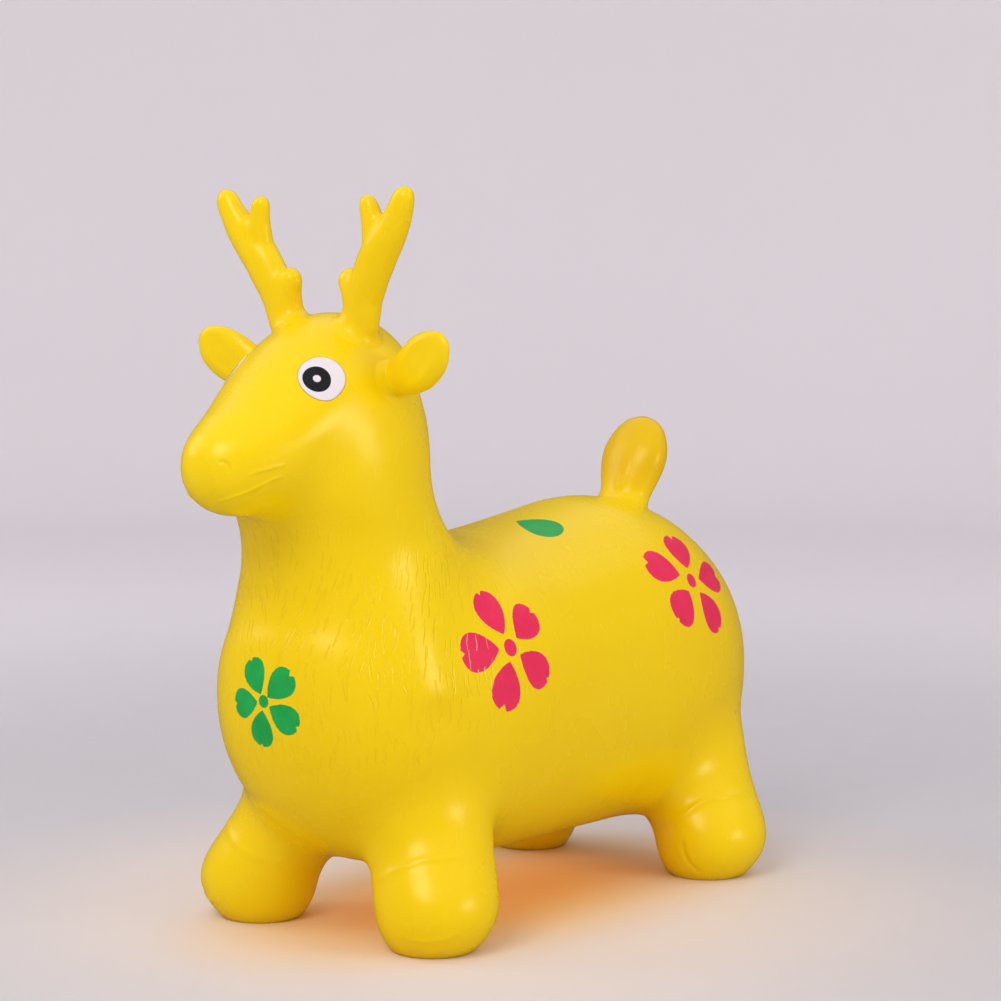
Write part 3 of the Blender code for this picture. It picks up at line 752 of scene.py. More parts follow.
def head_form(bm):
    rings = []
    for reach, drop, depth, half in through(HEAD_SHARES):
        centre = Vector((0, HEAD_Y - reach * HEAD_REACH, HEAD_Z - drop * NOSE_DROP))
        across = Vector((half * HEAD_WIDTH / 2, 0, 0))
        rise = Vector((0, 0, depth * HEAD_DEPTH / 2))
        rings.append((centre, across, rise))
    loft(bm, rings, BODY_SIDES)
    nose = Vector((0, HEAD_Y - HEAD_REACH + NOSE_DIAMETER / 2, HEAD_Z - NOSE_DROP))
    bmesh.ops.create_uvsphere(
        bm,
        u_segments=BALL_SIDES,
        v_segments=BALL_SIDES // 2,
        radius=NOSE_DIAMETER / 2,
        matrix=Matrix.Translation(nose),
    )


def leg_form(bm, side, track, reach, foot_y, lean):
    rings = []
    for up, splay, back, half in through(LEG_SHARES):
        inward = (1 - splay) * reach
        place = (side * (track / 2 - inward), foot_y + back * lean, up * LEG_HEIGHT)
        half_size = half * FOOT_DIAMETER / 2
        rings.append((Vector(place), Vector((half_size, 0, 0)), Vector((0, half_size, 0))))
    loft(bm, rings, TUBE_SIDES)


def flat_soles(bm):
    """Cuts the feet off level with the floor and closes them."""
    bmesh.ops.holes_fill(bm, edges=cut_below(bm, (0, 0, 0), (0, 0, 1)), sides=0)


def skin_form():
    bm = bmesh.new()
    body_form(bm)
    neck_form(bm)
    head_form(bm)
    for side in (-1, 1):
        leg_form(bm, side, FOOT_TRACK, LEG_SPLAY, FRONT_FOOT_Y, FRONT_LEG_LEAN)
        leg_form(bm, side, REAR_FOOT_TRACK, REAR_LEG_SPLAY, REAR_FOOT_Y, REAR_LEG_LEAN)
    skin = melted("skin_form", bm, SKIN_GRAIN, SKIN_ROUNDS)
    fill_valleys(skin, SKIN_FILL_ROUNDS)
    nape = Vector((0, NECK_Y + NECK_DIAMETER / 2, SEAT_HEIGHT))
    shares = [1 - ease(2 * (vert.co - nape).length / NAPE_FILL_REACH - 1) for vert in skin.verts]
    fill_valleys(skin, NAPE_FILL_ROUNDS, numpy.array(shares))
    return skin


# Moulded lines


def line_points(tree):
    """Dense points along every moulded line of both sides, laid on the skin."""
    found = []
    for points, height, half in MOULDED_LINES:
        rows = through(points, LINE_STEPS)
        for side in (-1, 1):
            for k, (x, y, z) in enumerate(rows):
                place, _, _, _ = tree.find_nearest(Vector((side * x, y, z)))
                fade = math.sin(math.pi * (k + 0.5) / len(rows)) ** 0.5
                found.append((place, height * fade, half))
    return found


def emboss(bm, tree):
    """Raises or sinks the moulded lines in a mesh that is made finer along them first."""
    points = line_points(tree)
    lookup = KDTree(len(points))
    for k, (place, _, _) in enumerate(points):
        lookup.insert(place, k)
    lookup.balance()
    for zone in (LINE_ZONE_WIDE, LINE_ZONE_NARROW):
        near = {vert for vert in bm.verts if lookup.find(vert.co)[2] < zone}
        edges = [edge for edge in bm.edges if near.issuperset(edge.verts)]
        bmesh.ops.subdivide_edges(bm, edges=edges, cuts=1, use_grid_fill=True)
        near = [vert for vert in bm.verts if lookup.find(vert.co)[2] < zone]
        for _ in range(LINE_SMOOTH_ROUNDS):
            bmesh.ops.smooth_vert(
                bm,
                verts=near,
                factor=SMOOTH_FACTOR,
                use_axis_x=True,
                use_axis_y=True,
                use_axis_z=True,
            )

    def line_height(vert):
        _, index, distance = lookup.find(vert.co)
        _, height, half = points[index]
        if distance >= LINE_CUT_OFF * half:
            return 0.0
        return height * math.exp(-((distance / half) ** 2))

    push(bm, line_height)


# Limbs that grow from the skin


def hit(tree, origin, direction):
    """Where a line from inside the skin meets it, and the outward direction there."""
    place, normal, _, _ = tree.ray_cast(Vector(origin), Vector(direction).normalized())
    if normal.dot(Vector(direction)) < 0:
        normal = -normal
    return place, normal


def add_skirt(form, skin, root, outward):
    """Adds a thick lens of the skin round a limb's root, so that the limb melts into it."""
    patch = skin.copy()
    far = [vert for vert in patch.verts if (vert.co - root).length > SKIRT_REACH]
    bmesh.ops.delete(patch, geom=far, context="VERTS")
    rim = cut_below(patch, root - outward * SKIRT_DEPTH, outward)
    base = bmesh.ops.edgeloop_fill(patch, edges=rim)["faces"]
    grown = bmesh.ops.extrude_face_region(patch, geom=base)["geom"]
    low = [item for item in grown if isinstance(item, bmesh.types.BMVert)]
    bmesh.ops.translate(patch, verts=low, vec=-outward * SKIRT_THICKNESS)
    form.from_mesh(mesh_from(patch, "skirt"))


def settle_root(bm, tree, root, outward):
    """Cuts a limb's skirt to a thin lens and tucks its rim just under the skin."""
    rim = cut_below(bm, root - outward * SKIRT_CUT, outward)
    for vert in bm.verts:
        place, normal, _, _ = tree.find_nearest(vert.co)
        height = (vert.co - place).dot(normal)
        vert.co -= normal * SKIRT_DIP * (1 - ease(height / SKIRT_MERGE))
    bmesh.ops.edgeloop_fill(bm, edges=rim)
    bmesh.ops.recalc_face_normals(bm, faces=bm.faces)
    bm.normal_update()


def limb(name, forms, tree, skin, root, outward):
    """A limb of lofted forms melted together with the skin round its root."""
    bm = bmesh.new()
    for rings in forms:
        loft(bm, rings, TUBE_SIDES)
    add_skirt(bm, skin, root, outward)
    made = melted(name + "_form", bm, LIMB_GRAIN, LIMB_ROUNDS)
    fill_valleys(made, LIMB_FILL_ROUNDS)
    heights = [(vert.co - root).dot(outward) for vert in made.verts]
    shares = [1 - ease(height / ROOT_FILL_HEIGHT) for height in heights]
    fill_valleys(made, ROOT_FILL_ROUNDS, numpy.array(shares))
    settle_root(made, tree, root, outward)
    return made


def bend_limb(piece, body):
    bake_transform(piece)
    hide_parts(body)


def cup_ear(bm, side, centre):
    """Hollows the front of an ear inside a rim that stands along its edge."""
    for vert in bm.verts:
        along = side * (vert.co.x - centre.x) / EAR_LENGTH
        if along < EAR_CUP_START or vert.normal.y > -0.2:
            continue
        share = min(along, 1.0)
        rise = EAR_LIFT * 1.05 * ease((share - 0.2) / 0.85)
        across = (vert.co.z - centre.z - rise) / (EAR_WIDTH / 2)
        off = (across / EAR_CUP_BREADTH, (share - EAR_CUP_MIDDLE) / EAR_CUP_REACH)
        inside = 1 - ease((math.hypot(*off) - 0.35) / 0.60)
        vert.co.y += EAR_CUP * inside * min(1.0, -vert.normal.y)


def ear(word, side, tree, skin, material):
    origin = (0, HEAD_Y, HEAD_Z + EAR_PLACE)
    root, _ = hit(tree, origin, (side, 0, 0))
    outward = Vector((side, 0, 0))
    centre = root - outward * EAR_ROOT_DIAMETER / 2 * ROOT_SINK_SHARE
    points, halves, thin = [], [], []
    for along, half, thickness, rise in through(EAR_SHARES):
        back = EAR_ROOT_SETBACK * (1 - along) ** 2 - EAR_SWEEP * along
        points.append(centre + Vector((side * along * EAR_LENGTH, back, rise * EAR_LIFT)))
        halves.append(half * EAR_WIDTH / 2)
        thin.append(thickness * EAR_THICKNESS / 2)
    forms = [tube_rings(points, halves, thin)]
    bm = limb(word + "_ear", forms, tree, skin, root, outward)
    cup_ear(bm, side, centre)
    piece = finished(word + "_ear_skin", bm, material)
    bend_limb(piece, word + "_ear")


def antler_path(centre, side, rows):
    points, halves = [], []
    for out, up, half in rows:
        shift = Vector((side * out * ANTLER_SPREAD, -up * ANTLER_LEAN, up * ANTLER_HEIGHT))
        points.append(centre + shift)
        halves.append(half * BEAM_DIAMETER / 2)
    return points, halves


def lump(bm, tree, strength):
    """Soft lumps on a limb, away from its root."""

    def lump_height(vert):
        place, normal, _, _ = tree.find_nearest(vert.co)
        free = ease(((vert.co - place).dot(normal) - LUMP_START) / LUMP_FADE)
        return strength * free * noise.noise(vert.co * LUMP_SCALE)

    push(bm, lump_height)


def antler(word, side, tree, skin, material):
    direction = Vector((side * ANTLER_STANCE, 0, HEAD_DEPTH / 2)).normalized()
    root, _ = hit(tree, (0, HEAD_Y, HEAD_Z), direction)
    centre = root - direction * ANTLER_ROOT_DIAMETER / 2 * ROOT_SINK_SHARE
    forms = []
    for shares in (BEAM_SHARES, TINE_SHARES, WEB_SHARES, SPUR_SHARES, SPUR_WEB_SHARES):
        points, halves = antler_path(centre, side, through(shares))
        thin = [half * ANTLER_DEPTH_SHARE for half in halves]
        forms.append(tube_rings(points, halves, thin))
    bm = limb(word + "_antler", forms, tree, skin, root, direction)
    lump(bm, tree, ANTLER_LUMPS)
    piece = finished(word + "_antler_skin", bm, material)
    bend_limb(piece, word + "_antler")


def pleat_tail(bm, centre):
    """Two soft pleats up the front of the tail's root."""
    axis = Vector((0, TAIL_SETBACK, TAIL_LENGTH))

    def pleat_height(vert):
        along = (vert.co - centre).dot(axis) / axis.length_squared
        spot = vert.co - centre - axis * along
        turn = math.atan2(spot.x / TAIL_WIDTH, spot.y / TAIL_THICKNESS)
        share = ease((along - TAIL_PLEAT_START) / TAIL_PLEAT_RISE)
        share *= 1 - ease((along - TAIL_PLEAT_TOP) / TAIL_PLEAT_FADE)
        height = 0.0
        for middle in TAIL_PLEAT_TURNS:
            away = math.remainder(turn - math.radians(middle), math.tau) / TAIL_PLEAT_WIDTH
            height += TAIL_PLEAT * share * math.exp(-(away**2))
        return height

    push(bm, pleat_height)


def tail(tree, skin, material):
    origin = (0, RUMP_Y - TAIL_PLACE, BELLY_HEIGHT + BODY_DEPTH / 2)
    root, _ = hit(tree, origin, (0, 0, 1))
    outward = Vector((0, 0, 1))
    centre = root - outward * TAIL_ROOT_DIAMETER / 2 * ROOT_SINK_SHARE
    points, halves, thin = [], [], []
    for along, half, thickness in through(TAIL_SHARES):
        points.append(centre + Vector((0, along * TAIL_SETBACK, along * TAIL_LENGTH)))
        halves.append(half * TAIL_WIDTH / 2)
        thin.append(thickness * TAIL_THICKNESS / 2)
    forms = [tube_rings(points, halves, thin)]
    bm = limb("tail", forms, tree, skin, root, outward)
    pleat_tail(bm, centre)
    piece = finished("tail_skin", bm, material)
    bend_limb(piece, "tail")


# Eyes


FILM_SHARES = (
    # radius, height of the face over the skin as a share of the film's height
    (0.0, -1.0),
    (0.5, -1.0),
    (0.97, -1.0),
    (1.0, -0.2),
    (0.995, 0.55),
    (0.97, 0.92),
    (0.93, 1.0),
    (0.78, 1.0),
    (0.62, 1.0),
    (0.45, 1.0),
    (0.30, 1.0),
    (0.15, 1.0),
    (0.0, 1.0),
)


def eye_spot(side, tree):
    """The place of an eye: across to the nose, up and out."""
    origin = (0, HEAD_Y - EYE_FORWARD, HEAD_Z + EYE_RISE)
    place, normal = hit(tree, origin, (side, 0, 0))
    across = Vector((0, 0, 1)).cross(normal).normalized() * -side
    up = normal.cross(across) * -side
    turn = Matrix((across, up, normal)).transposed().to_4x4()
    return Matrix.Translation(place) @ turn


def eye_film(name, spot, size, lift, shape, tree, material):
    """A thin film that follows the skin, tilted and flattened below at its back by its shape."""
    width, height = size
    tilt, flat = shape
    bm = bmesh.new()
    turned(bm, FILM_SHARES, Matrix.Diagonal((width / 2, height / 2, lift, 1)))
    turn = Matrix.Rotation(math.radians(tilt), 4, "Z")
    outward = spot.to_3x3() @ Vector((0, 0, 1))
    for vert in bm.verts:
        rise = vert.co.z
        angle = math.atan2(vert.co.y, vert.co.x)
        off = math.remainder(angle - math.radians(EYE_FLAT_TURN), math.tau)
        away = off / EYE_FLAT_WIDTH
        flat_co = Vector((vert.co.x, vert.co.y, 0)) * (1 - flat * math.exp(-(away**2)))
        above = spot @ (turn @ flat_co + Vector((0, 0, EYE_WIDTH)))
        place, normal, _, _ = tree.ray_cast(above, -outward)
        vert.co = place + normal * rise
    bmesh.ops.recalc_face_normals(bm, faces=bm.faces)
    piece = finished(name, bm, material)
    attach(piece, "body")
    return piece


def eye(word, side, tree, materials):
    spot = eye_spot(side, tree)
    ahead = spot @ Matrix.Translation((PUPIL_FORWARD, -PUPIL_DROP, 0))
    rim = (EYE_WIDTH + 2 * EYE_RIM, EYE_HEIGHT + 2 * EYE_RIM)
    ball = (EYE_WIDTH, EYE_HEIGHT)
    pupil = (PUPIL_WIDTH, PUPIL_HEIGHT)
    dot = (GLINT_DIAMETER, GLINT_DIAMETER)
    oval, plain = (EYE_TILT, EYE_FLAT), (0.0, 0.0)
    for part, place, size, lift, shape, paint, slot, node_name in (
        ("_eye_rim", spot, rim, EYE_RIM_LIFT, oval, "line", "black_paint", None),
        ("_eyeball", spot, ball, EYE_WHITE_LIFT, oval, "white", "white_paint", "_eye_white"),
        ("_eye_black", ahead, pupil, PUPIL_LIFT, plain, "black", "black_paint", "_eye_pupil"),
        ("_eye_dot", ahead, dot, GLINT_LIFT, plain, "white", "white_paint", "_eye_glint"),
    ):
        piece = eye_film(word + part, place, size, lift, shape, tree, materials[paint])
        if node_name:
            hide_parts(word + node_name)


# Valve


def rounded(outline):
    """An outline with soft corners: each corner is replaced by points on a small curve."""
    soft = [outline[0]]
    for before, corner, after in zip(outline, outline[1:], outline[2:]):
        radius = corner[2]
        here = Vector(corner[:2])
        back = Vector(before[:2]) - here
        ahead = Vector(after[:2]) - here
        start, end = (
            here + way.normalized() * min(radius, way.length * CORNER_REACH_SHARE)
            for way in (back, ahead)
        )
        for k in range(CORNER_STEPS):
            t = k / (CORNER_STEPS - 1)
            point = start * (1 - t) ** 2 + here * 2 * t * (1 - t) + end * t**2
            soft.append((point.x, point.y, 0))
    soft.append(outline[-1])
    return [(row[0], row[1]) for row in soft]


def valve(tree, material):
    place, _ = hit(tree, (0, BODY_SETBACK, VALVE_HEIGHT), (0, 1, 0))
    turn = Vector((0, 1, 0)).to_track_quat("Z", "Y").to_matrix().to_4x4()
    seat = Matrix.Translation(place) @ turn
    bore = BORE_DIAMETER / 2
    half = FLANGE_DIAMETER / 2
    top = FLANGE_THICKNESS
    insert_outline = [
        (bore, -SLEEVE_LENGTH, 0),
        (bore, top, CORNER_FINE),
        (half * 0.50, top, CORNER_SOFT),
        (half * 0.56, top * 0.80, CORNER_SOFT),
        (half * 0.78, top * 0.80, CORNER_SOFT),
        (half * 0.84, top, CORNER_SOFT),
        (half, top, CORNER_SOFT),
        (half, -top * 1.2, CORNER_SOFT),
        (half * 0.62, -top * 1.2, CORNER_SOFT),
        (half * 0.62, -SLEEVE_LENGTH, CORNER_FINE),
        (bore, -SLEEVE_LENGTH, 0),
    ]
    bm = bmesh.new()
    turned(bm, rounded(insert_outline), seat)
    insert = finished("valve_seat", bm, material)
    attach(insert, "body")
    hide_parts("valve_insert")

    head = PLUG_HEAD_DIAMETER / 2
    low = top + GAP
    high = low + PLUG_HEAD_THICKNESS
    stem = bore - GAP - PLUG_RIB_HEIGHT
    rib = bore - GAP
    outline = [
        (0, high - PLUG_DISH, 0),
        (head * 0.50, high - PLUG_DISH, 0.0006),
        (head * 0.62, high, CORNER_SOFT),
        (head * 0.88, high, CORNER_SOFT),
        (head, high - 0.0009, 0.0006),
        (head, low, CORNER_FINE),
        (stem, low, 0.0003),
    ]
    for k in range(PLUG_RIBS):
        middle = low - PLUG_RIB_START - k * PLUG_RIB_STEP
        outline += [(stem, middle + PLUG_RIB_HALF, 0.0002), (rib, middle, 0.0003)]
        outline += [(stem, middle - PLUG_RIB_HALF, 0.0002)]
    outline += [(stem * 0.88, low - PLUG_LENGTH, CORNER_FINE), (0, low - PLUG_LENGTH, 0)]
    bm = bmesh.new()
    turned(bm, rounded(outline), seat)
    add_grip(bm, seat, high, head)
    plug = finished("valve_plug_dressed", bm, material)
    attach(plug, "valve_plug")
    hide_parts("valve_plug")


def add_grip(bm, seat, high, head):
    """A small rounded bar across the plug's head, to pull it by."""
    rings = []
    for along, half in GRIP_SHARES:
        centre = seat @ Vector((along * head, 0, high - GRIP_SINK))
        across = seat.to_3x3() @ Vector((0, half * GRIP_HALF_WIDTH, 0))
        rise = seat.to_3x3() @ Vector((0, 0, half * GRIP_HEIGHT))
        rings.append((centre, across, rise))
    loft(bm, rings, GRIP_SIDES)


# Shader helpers


def node(tree, kind, inputs=None, **settings):
    made = tree.nodes.new(kind)
    for key, value in settings.items():
        setattr(made, key, value)
    for key, value in (inputs or {}).items():
        if isinstance(value, bpy.types.NodeSocket):
            tree.links.new(value, made.inputs[key])
        else:
            made.inputs[key].default_value = value
    return made


def maths(tree, operation, a, b=0.0, c=0.0, clamp=False):
    inputs = {0: a, 1: b, 2: c}
    return node(tree, "ShaderNodeMath", inputs, operation=operation, use_clamp=clamp).outputs[0]


def plus(tree, a, b):
    return maths(tree, "ADD", a, b)


def minus(tree, a, b):
    return maths(tree, "SUBTRACT", a, b)


def times(tree, a, b):
    return maths(tree, "MULTIPLY", a, b)


def axes(tree, vector):
    """The x, y and z of a vector."""
    return node(tree, "ShaderNodeSeparateXYZ", {0: vector}).outputs


def vector_maths(tree, operation, a, b=(0.0, 0.0, 0.0)):
    made = node(tree, "ShaderNodeVectorMath", {0: a, 1: b}, operation=operation)
    return made.outputs["Value" if operation in ("DOT_PRODUCT", "LENGTH", "DISTANCE") else "Vector"]


def scaled(tree, vector, amount):
    made = node(tree, "ShaderNodeVectorMath", {0: vector, "Scale": amount}, operation="SCALE")
    return made.outputs["Vector"]


def ramp(tree, value, low, high, out_low=0.0, out_high=1.0):
    ends = {"From Min": low, "From Max": high, "To Min": out_low, "To Max": out_high}
    inputs = {"Value": value, **ends}
    made = node(tree, "ShaderNodeMapRange", inputs, interpolation_type="SMOOTHSTEP")
    return made.outputs["Result"]


def mixed(tree, share, a, b, blend_type="MIX"):
    inputs = {0: share, 6: a, 7: b}
    return node(tree, "ShaderNodeMix", inputs, data_type="RGBA", blend_type=blend_type).outputs[2]


def noise_of(tree, vector, scale, detail):
    inputs = {"Vector": vector, "Scale": scale, "Detail": detail}
    return node(tree, "ShaderNodeTexNoise", inputs).outputs


def grain(tree, vector, scale, detail):
    return noise_of(tree, vector, scale, detail)[0]


def cloud(tree, place, scale, detail, ends=(0.0, 1.0), between=(0.3, 0.7)):
    """Soft noise, spread between two of its values and given as a value between two ends."""
    return ramp(tree, grain(tree, place, scale, detail), *between, *ends)


def group(name, inputs, outputs):
    """An empty node group with its sockets, and its two end nodes."""
    made = bpy.data.node_groups.new(name, "ShaderNodeTree")
    for title, kind in inputs:
        made.interface.new_socket(title, in_out="INPUT", socket_type=kind)
    for title, kind in outputs:
        made.interface.new_socket(title, in_out="OUTPUT", socket_type=kind)
    return made, made.nodes.new("NodeGroupInput").outputs, made.nodes.new("NodeGroupOutput").inputs


def place_group(tree, made, inputs):
    return node(tree, "ShaderNodeGroup", inputs, node_tree=made).outputs


def wire(tree, shader, colour, rough, height, distance, strength=1.0):
    """Gives a shader its colour, its roughness and the bump of a height."""
    inputs = {"Height": height, "Distance": distance, "Strength": strength}
    bump = node(tree, "ShaderNodeBump", inputs).outputs[0]
    for key, value in (("Base Color", colour), ("Roughness", rough), ("Normal", bump)):
        tree.links.new(value, shader.inputs[key])


FLOAT = "NodeSocketFloat"
VECTOR = "NodeSocketVector"
COLOUR = "NodeSocketColor"


# Shared effects


def pvc_group():
    """Soft PVC: slightly uneven colour, satin roughness, fine skin and dust on the soles."""
    outputs = [("Colour", COLOUR), ("Roughness", FLOAT), ("Height", FLOAT)]
    made, into, out = group("pvc_finish", [("Place", VECTOR)], outputs)
    place = into["Place"]
    colour = mixed(made, cloud(made, place, 7.0, 3.0), YELLOW_LIGHT, YELLOW_DEEP)
    speck = cloud(made, place, 900.0, 1.0, between=(0.68, 0.74))
    colour = mixed(made, times(made, speck, SPECK_SHARE), colour, DUST)
    low = ramp(made, axes(made, place)[2], SCUFF_HEIGHT, 0.0)
    scuff = cloud(made, place, 160.0, 4.0, between=(0.40, 0.75))
    dirt = times(made, low, times(made, scuff, SCUFF_SHARE))
    colour = mixed(made, dirt, colour, DUST)
    satin = cloud(made, place, 16.0, 4.0, (SATIN_LOW, SATIN_HIGH))
    streak = vector_maths(made, "MULTIPLY", place, (260.0, 260.0, 60.0))
    rub = cloud(made, streak, 1.0, 2.0, (0.0, RUB_SHARE), (0.60, 0.80))
    rough = plus(made, plus(made, satin, rub), times(made, dirt, 0.5))
    fine = times(made, grain(made, place, 420.0, 2.0), FINE_BUMP)
    broad = times(made, grain(made, place, 55.0, 1.0), BROAD_BUMP)
    made.links.new(colour, out["Colour"])
    made.links.new(rough, out["Roughness"])
    made.links.new(plus(made, fine, broad), out["Height"])
    return made


def fur_group():
    """Short wavy strokes moulded in the chest, the shoulders and the upper legs."""
    made, into, out = group("fur_strokes", [("Place", VECTOR)], [("Stroke", FLOAT)])
    place = into["Place"]
    x, y, z = axes(made, place)
    back = plus(made, y, FUR_CHEST_BACK)
    forward = maths(made, "MAXIMUM", times(made, back, -1.0), 0.0001)
    angle = maths(made, "ARCTAN2", x, forward)
    behind = maths(made, "MAXIMUM", back, 0.0)
    side = maths(made, "SIGN", x)
    arc = plus(made, times(made, angle, FUR_CHEST_RADIUS), times(made, behind, side))
    slant = times(made, times(made, ramp(made, z, 0.19, 0.29), side), FUR_SLANT)
    wave = times(made, minus(made, grain(made, place, 95.0, 1.0), 0.5), FUR_WAVE)
    arc = plus(made, plus(made, arc, slant), wave)
    across = maths(made, "DIVIDE", arc, FUR_SPACING)
    upright = maths(made, "DIVIDE", z, FUR_LENGTH)
    cell = node(made, "ShaderNodeCombineXYZ", {0: across, 1: upright}).outputs[0]
    inputs = {"Vector": cell, "Scale": 1.0, "Randomness": 0.92}
    cells = node(made, "ShaderNodeTexVoronoi", inputs, voronoi_dimensions="2D").outputs
    off = axes(made, vector_maths(made, "SUBTRACT", cell, cells["Position"]))
    chance = node(made, "ShaderNodeSeparateColor", {0: cells["Color"]}).outputs
    lean = times(made, minus(made, chance[0], 0.5), 0.9)
    off_across = plus(made, off[0], times(made, off[1], lean))
    thin = ramp(made, maths(made, "ABSOLUTE", off_across), 0.180, 0.000)
    length = plus(made, times(made, chance[1], 0.22), 0.20)
    short = ramp(made, minus(made, maths(made, "ABSOLUTE", off[1]), length), 0.10, -0.02)
    kept = ramp(made, chance[2], 0.12, 0.20)
    stroke = times(made, times(made, thin, short), kept)
    front = ramp(made, y, -0.062, -0.112)
    faint = times(made, ramp(made, y, -0.010, -0.050), 0.40)
    patch = times(made, cloud(made, place, 12.0, 1.0, between=(0.30, 0.55)), 0.75)
    region = times(made, maths(made, "MAXIMUM", front, faint), plus(made, patch, 0.25))
    low = ramp(made, z, 0.075, 0.170)
    high = ramp(made, z, 0.315, 0.285)
    region = times(made, region, times(made, low, high))
    made.links.new(times(made, stroke, region), out["Stroke"])
    return made


def plane_group():
    """Flat coordinates round the middle of a print, kept true to length on the curved skin."""
    made, into, out = group(
        "print_plane",
        [("Place", VECTOR), ("Middle", VECTOR), ("Across", VECTOR), ("Up", VECTOR)],
        [("Flat", VECTOR), ("Reach", FLOAT)],
    )
    place = into["Place"]
    off = vector_maths(made, "SUBTRACT", place, into["Middle"])
    reach = vector_maths(made, "LENGTH", off)
    across = vector_maths(made, "DOT_PRODUCT", off, into["Across"])
    up = vector_maths(made, "DOT_PRODUCT", off, into["Up"])
    flat = node(made, "ShaderNodeCombineXYZ", {0: across, 1: up}).outputs[0]
    flat = scaled(made, vector_maths(made, "NORMALIZE", flat), reach)
    ragged = noise_of(made, place, 520.0, 2.0)[1]
    shift = scaled(made, vector_maths(made, "SUBTRACT", ragged, (0.5, 0.5, 0.5)), PRINT_RAGGED)
    made.links.new(vector_maths(made, "ADD", flat, shift), out["Flat"])
    made.links.new(reach, out["Reach"])
    return made


def petal_group():
    """One printed petal, pointed at the flower's middle and notched at its round outer end."""
    sizes = ("Turn", "Outer", "Inner", "Width", "Notch")
    inputs = [("Flat", VECTOR), *((title, FLOAT) for title in sizes)]
    made, into, out = group("print_petal", inputs, [("Mask", FLOAT)])
    apart = axes(made, into["Flat"])
    cosine = maths(made, "COSINE", into["Turn"])
    sine = maths(made, "SINE", into["Turn"])
    along = maths(made, "MULTIPLY_ADD", apart[0], cosine, times(made, apart[1], sine))
    sideways = minus(made, times(made, apart[1], cosine), times(made, apart[0], sine))
    sideways = maths(made, "ABSOLUTE", sideways)
    length = minus(made, into["Outer"], into["Inner"])
    share = maths(made, "DIVIDE", minus(made, along, into["Inner"]), length, clamp=True)
    root = maths(made, "POWER", share, PETAL_ROOT_POWER)
    tip = maths(made, "POWER", minus(made, 1.0, share), PETAL_TIP_POWER)
    half = times(made, into["Width"], PETAL_PEAK / 2)
    half = times(made, half, times(made, root, tip))
    inside = minus(made, minus(made, half, 0.0002), sideways)
    body = maths(made, "MULTIPLY_ADD", inside, PRINT_SHARPNESS, 0.5, clamp=True)
    edge = minus(made, minus(made, into["Outer"], into["Notch"]), along)
    edge = maths(made, "MULTIPLY_ADD", sideways, PETAL_NOTCH_SLOPE, edge)
    notch = maths(made, "MULTIPLY_ADD", edge, PRINT_SHARPNESS, 0.5, clamp=True)
    made.links.new(times(made, body, notch), out["Mask"])
    return made


def paint_group():
    """Screen paint on soft skin: slightly uneven, and broken where fur strokes cross it."""
    made, into, out = group(
        "print_paint",
        [("Place", VECTOR), ("Mask", FLOAT), ("Stroke", FLOAT)],
        [("Cover", FLOAT), ("Shade", FLOAT)],
    )
    broken = ramp(made, into["Stroke"], 0.38, 0.72, 0.0, 0.70)
    pin = cloud(made, into["Place"], 700.0, 2.0, (0.0, 0.10), (0.68, 0.74))
    cover = times(made, into["Mask"], minus(made, 1.0, broken))
    made.links.new(times(made, cover, minus(made, 1.0, pin)), out["Cover"])
    made.links.new(cloud(made, into["Place"], 60.0, 3.0), out["Shade"])
    return made


# Materials


def new_material(name):
    made = bpy.data.materials.new(name)
    made.use_nodes = True
    return made, made.node_tree, made.node_tree.nodes["Principled BSDF"]


def rest_place(tree):
    return node(tree, "ShaderNodeAttribute", attribute_name="rest").outputs["Vector"]


def set_satin(shader):
    shader.inputs["IOR"].default_value = PVC_IOR
    shader.inputs["Specular IOR Level"].default_value = PVC_SPECULAR
    shader.inputs["Specular Tint"].default_value = PVC_GLOSS_TINT


def directions(outward):
    out = Vector(outward).normalized()
    across = Vector((0, 0, 1)).cross(out).normalized()
    return across, out.cross(across)


def print_plane(tree, groups, place, middle, outward):
    across, up = directions(outward)
    inputs = {"Place": place, "Middle": middle, "Across": across, "Up": up}
    return place_group(tree, groups["plane"], inputs)


def petal_mask(tree, groups, flat, turn, *sizes):
    titles = ("Outer", "Inner", "Width", "Notch")
    values = {"Flat": flat, "Turn": math.radians(turn), **dict(zip(titles, sizes))}
    return place_group(tree, groups["petal"], values)["Mask"]


def flower(tree, groups, place, middle, outward, petals):
    """The mask of one printed flower."""
    plane = print_plane(tree, groups, place, middle, outward)
    dot = petals[0][1] * PRINT_DOT_SHARE
    mask = ramp(tree, plane["Reach"], dot + 0.0002, dot - 0.0002)
    for petal in petals:
        mask = maths(tree, "MAXIMUM", mask, petal_mask(tree, groups, plane["Flat"], *petal))
    near = ramp(tree, plane["Reach"], PRINT_REACH, PRINT_REACH - PRINT_REACH_FADE)
    return times(tree, mask, near)


def leaf(tree, groups, place):
    plane = print_plane(tree, groups, place, LEAF_MIDDLE, LEAF_OUTWARD)
    flat = vector_maths(tree, "ADD", plane["Flat"], LEAF_SHIFT)
    mask = petal_mask(tree, groups, flat, LEAF_TURN, LEAF_OUTER, LEAF_INNER, LEAF_WIDTH, 0.0)
    reach = PRINT_REACH / 2
    return times(tree, mask, ramp(tree, plane["Reach"], reach, reach - PRINT_REACH_FADE))


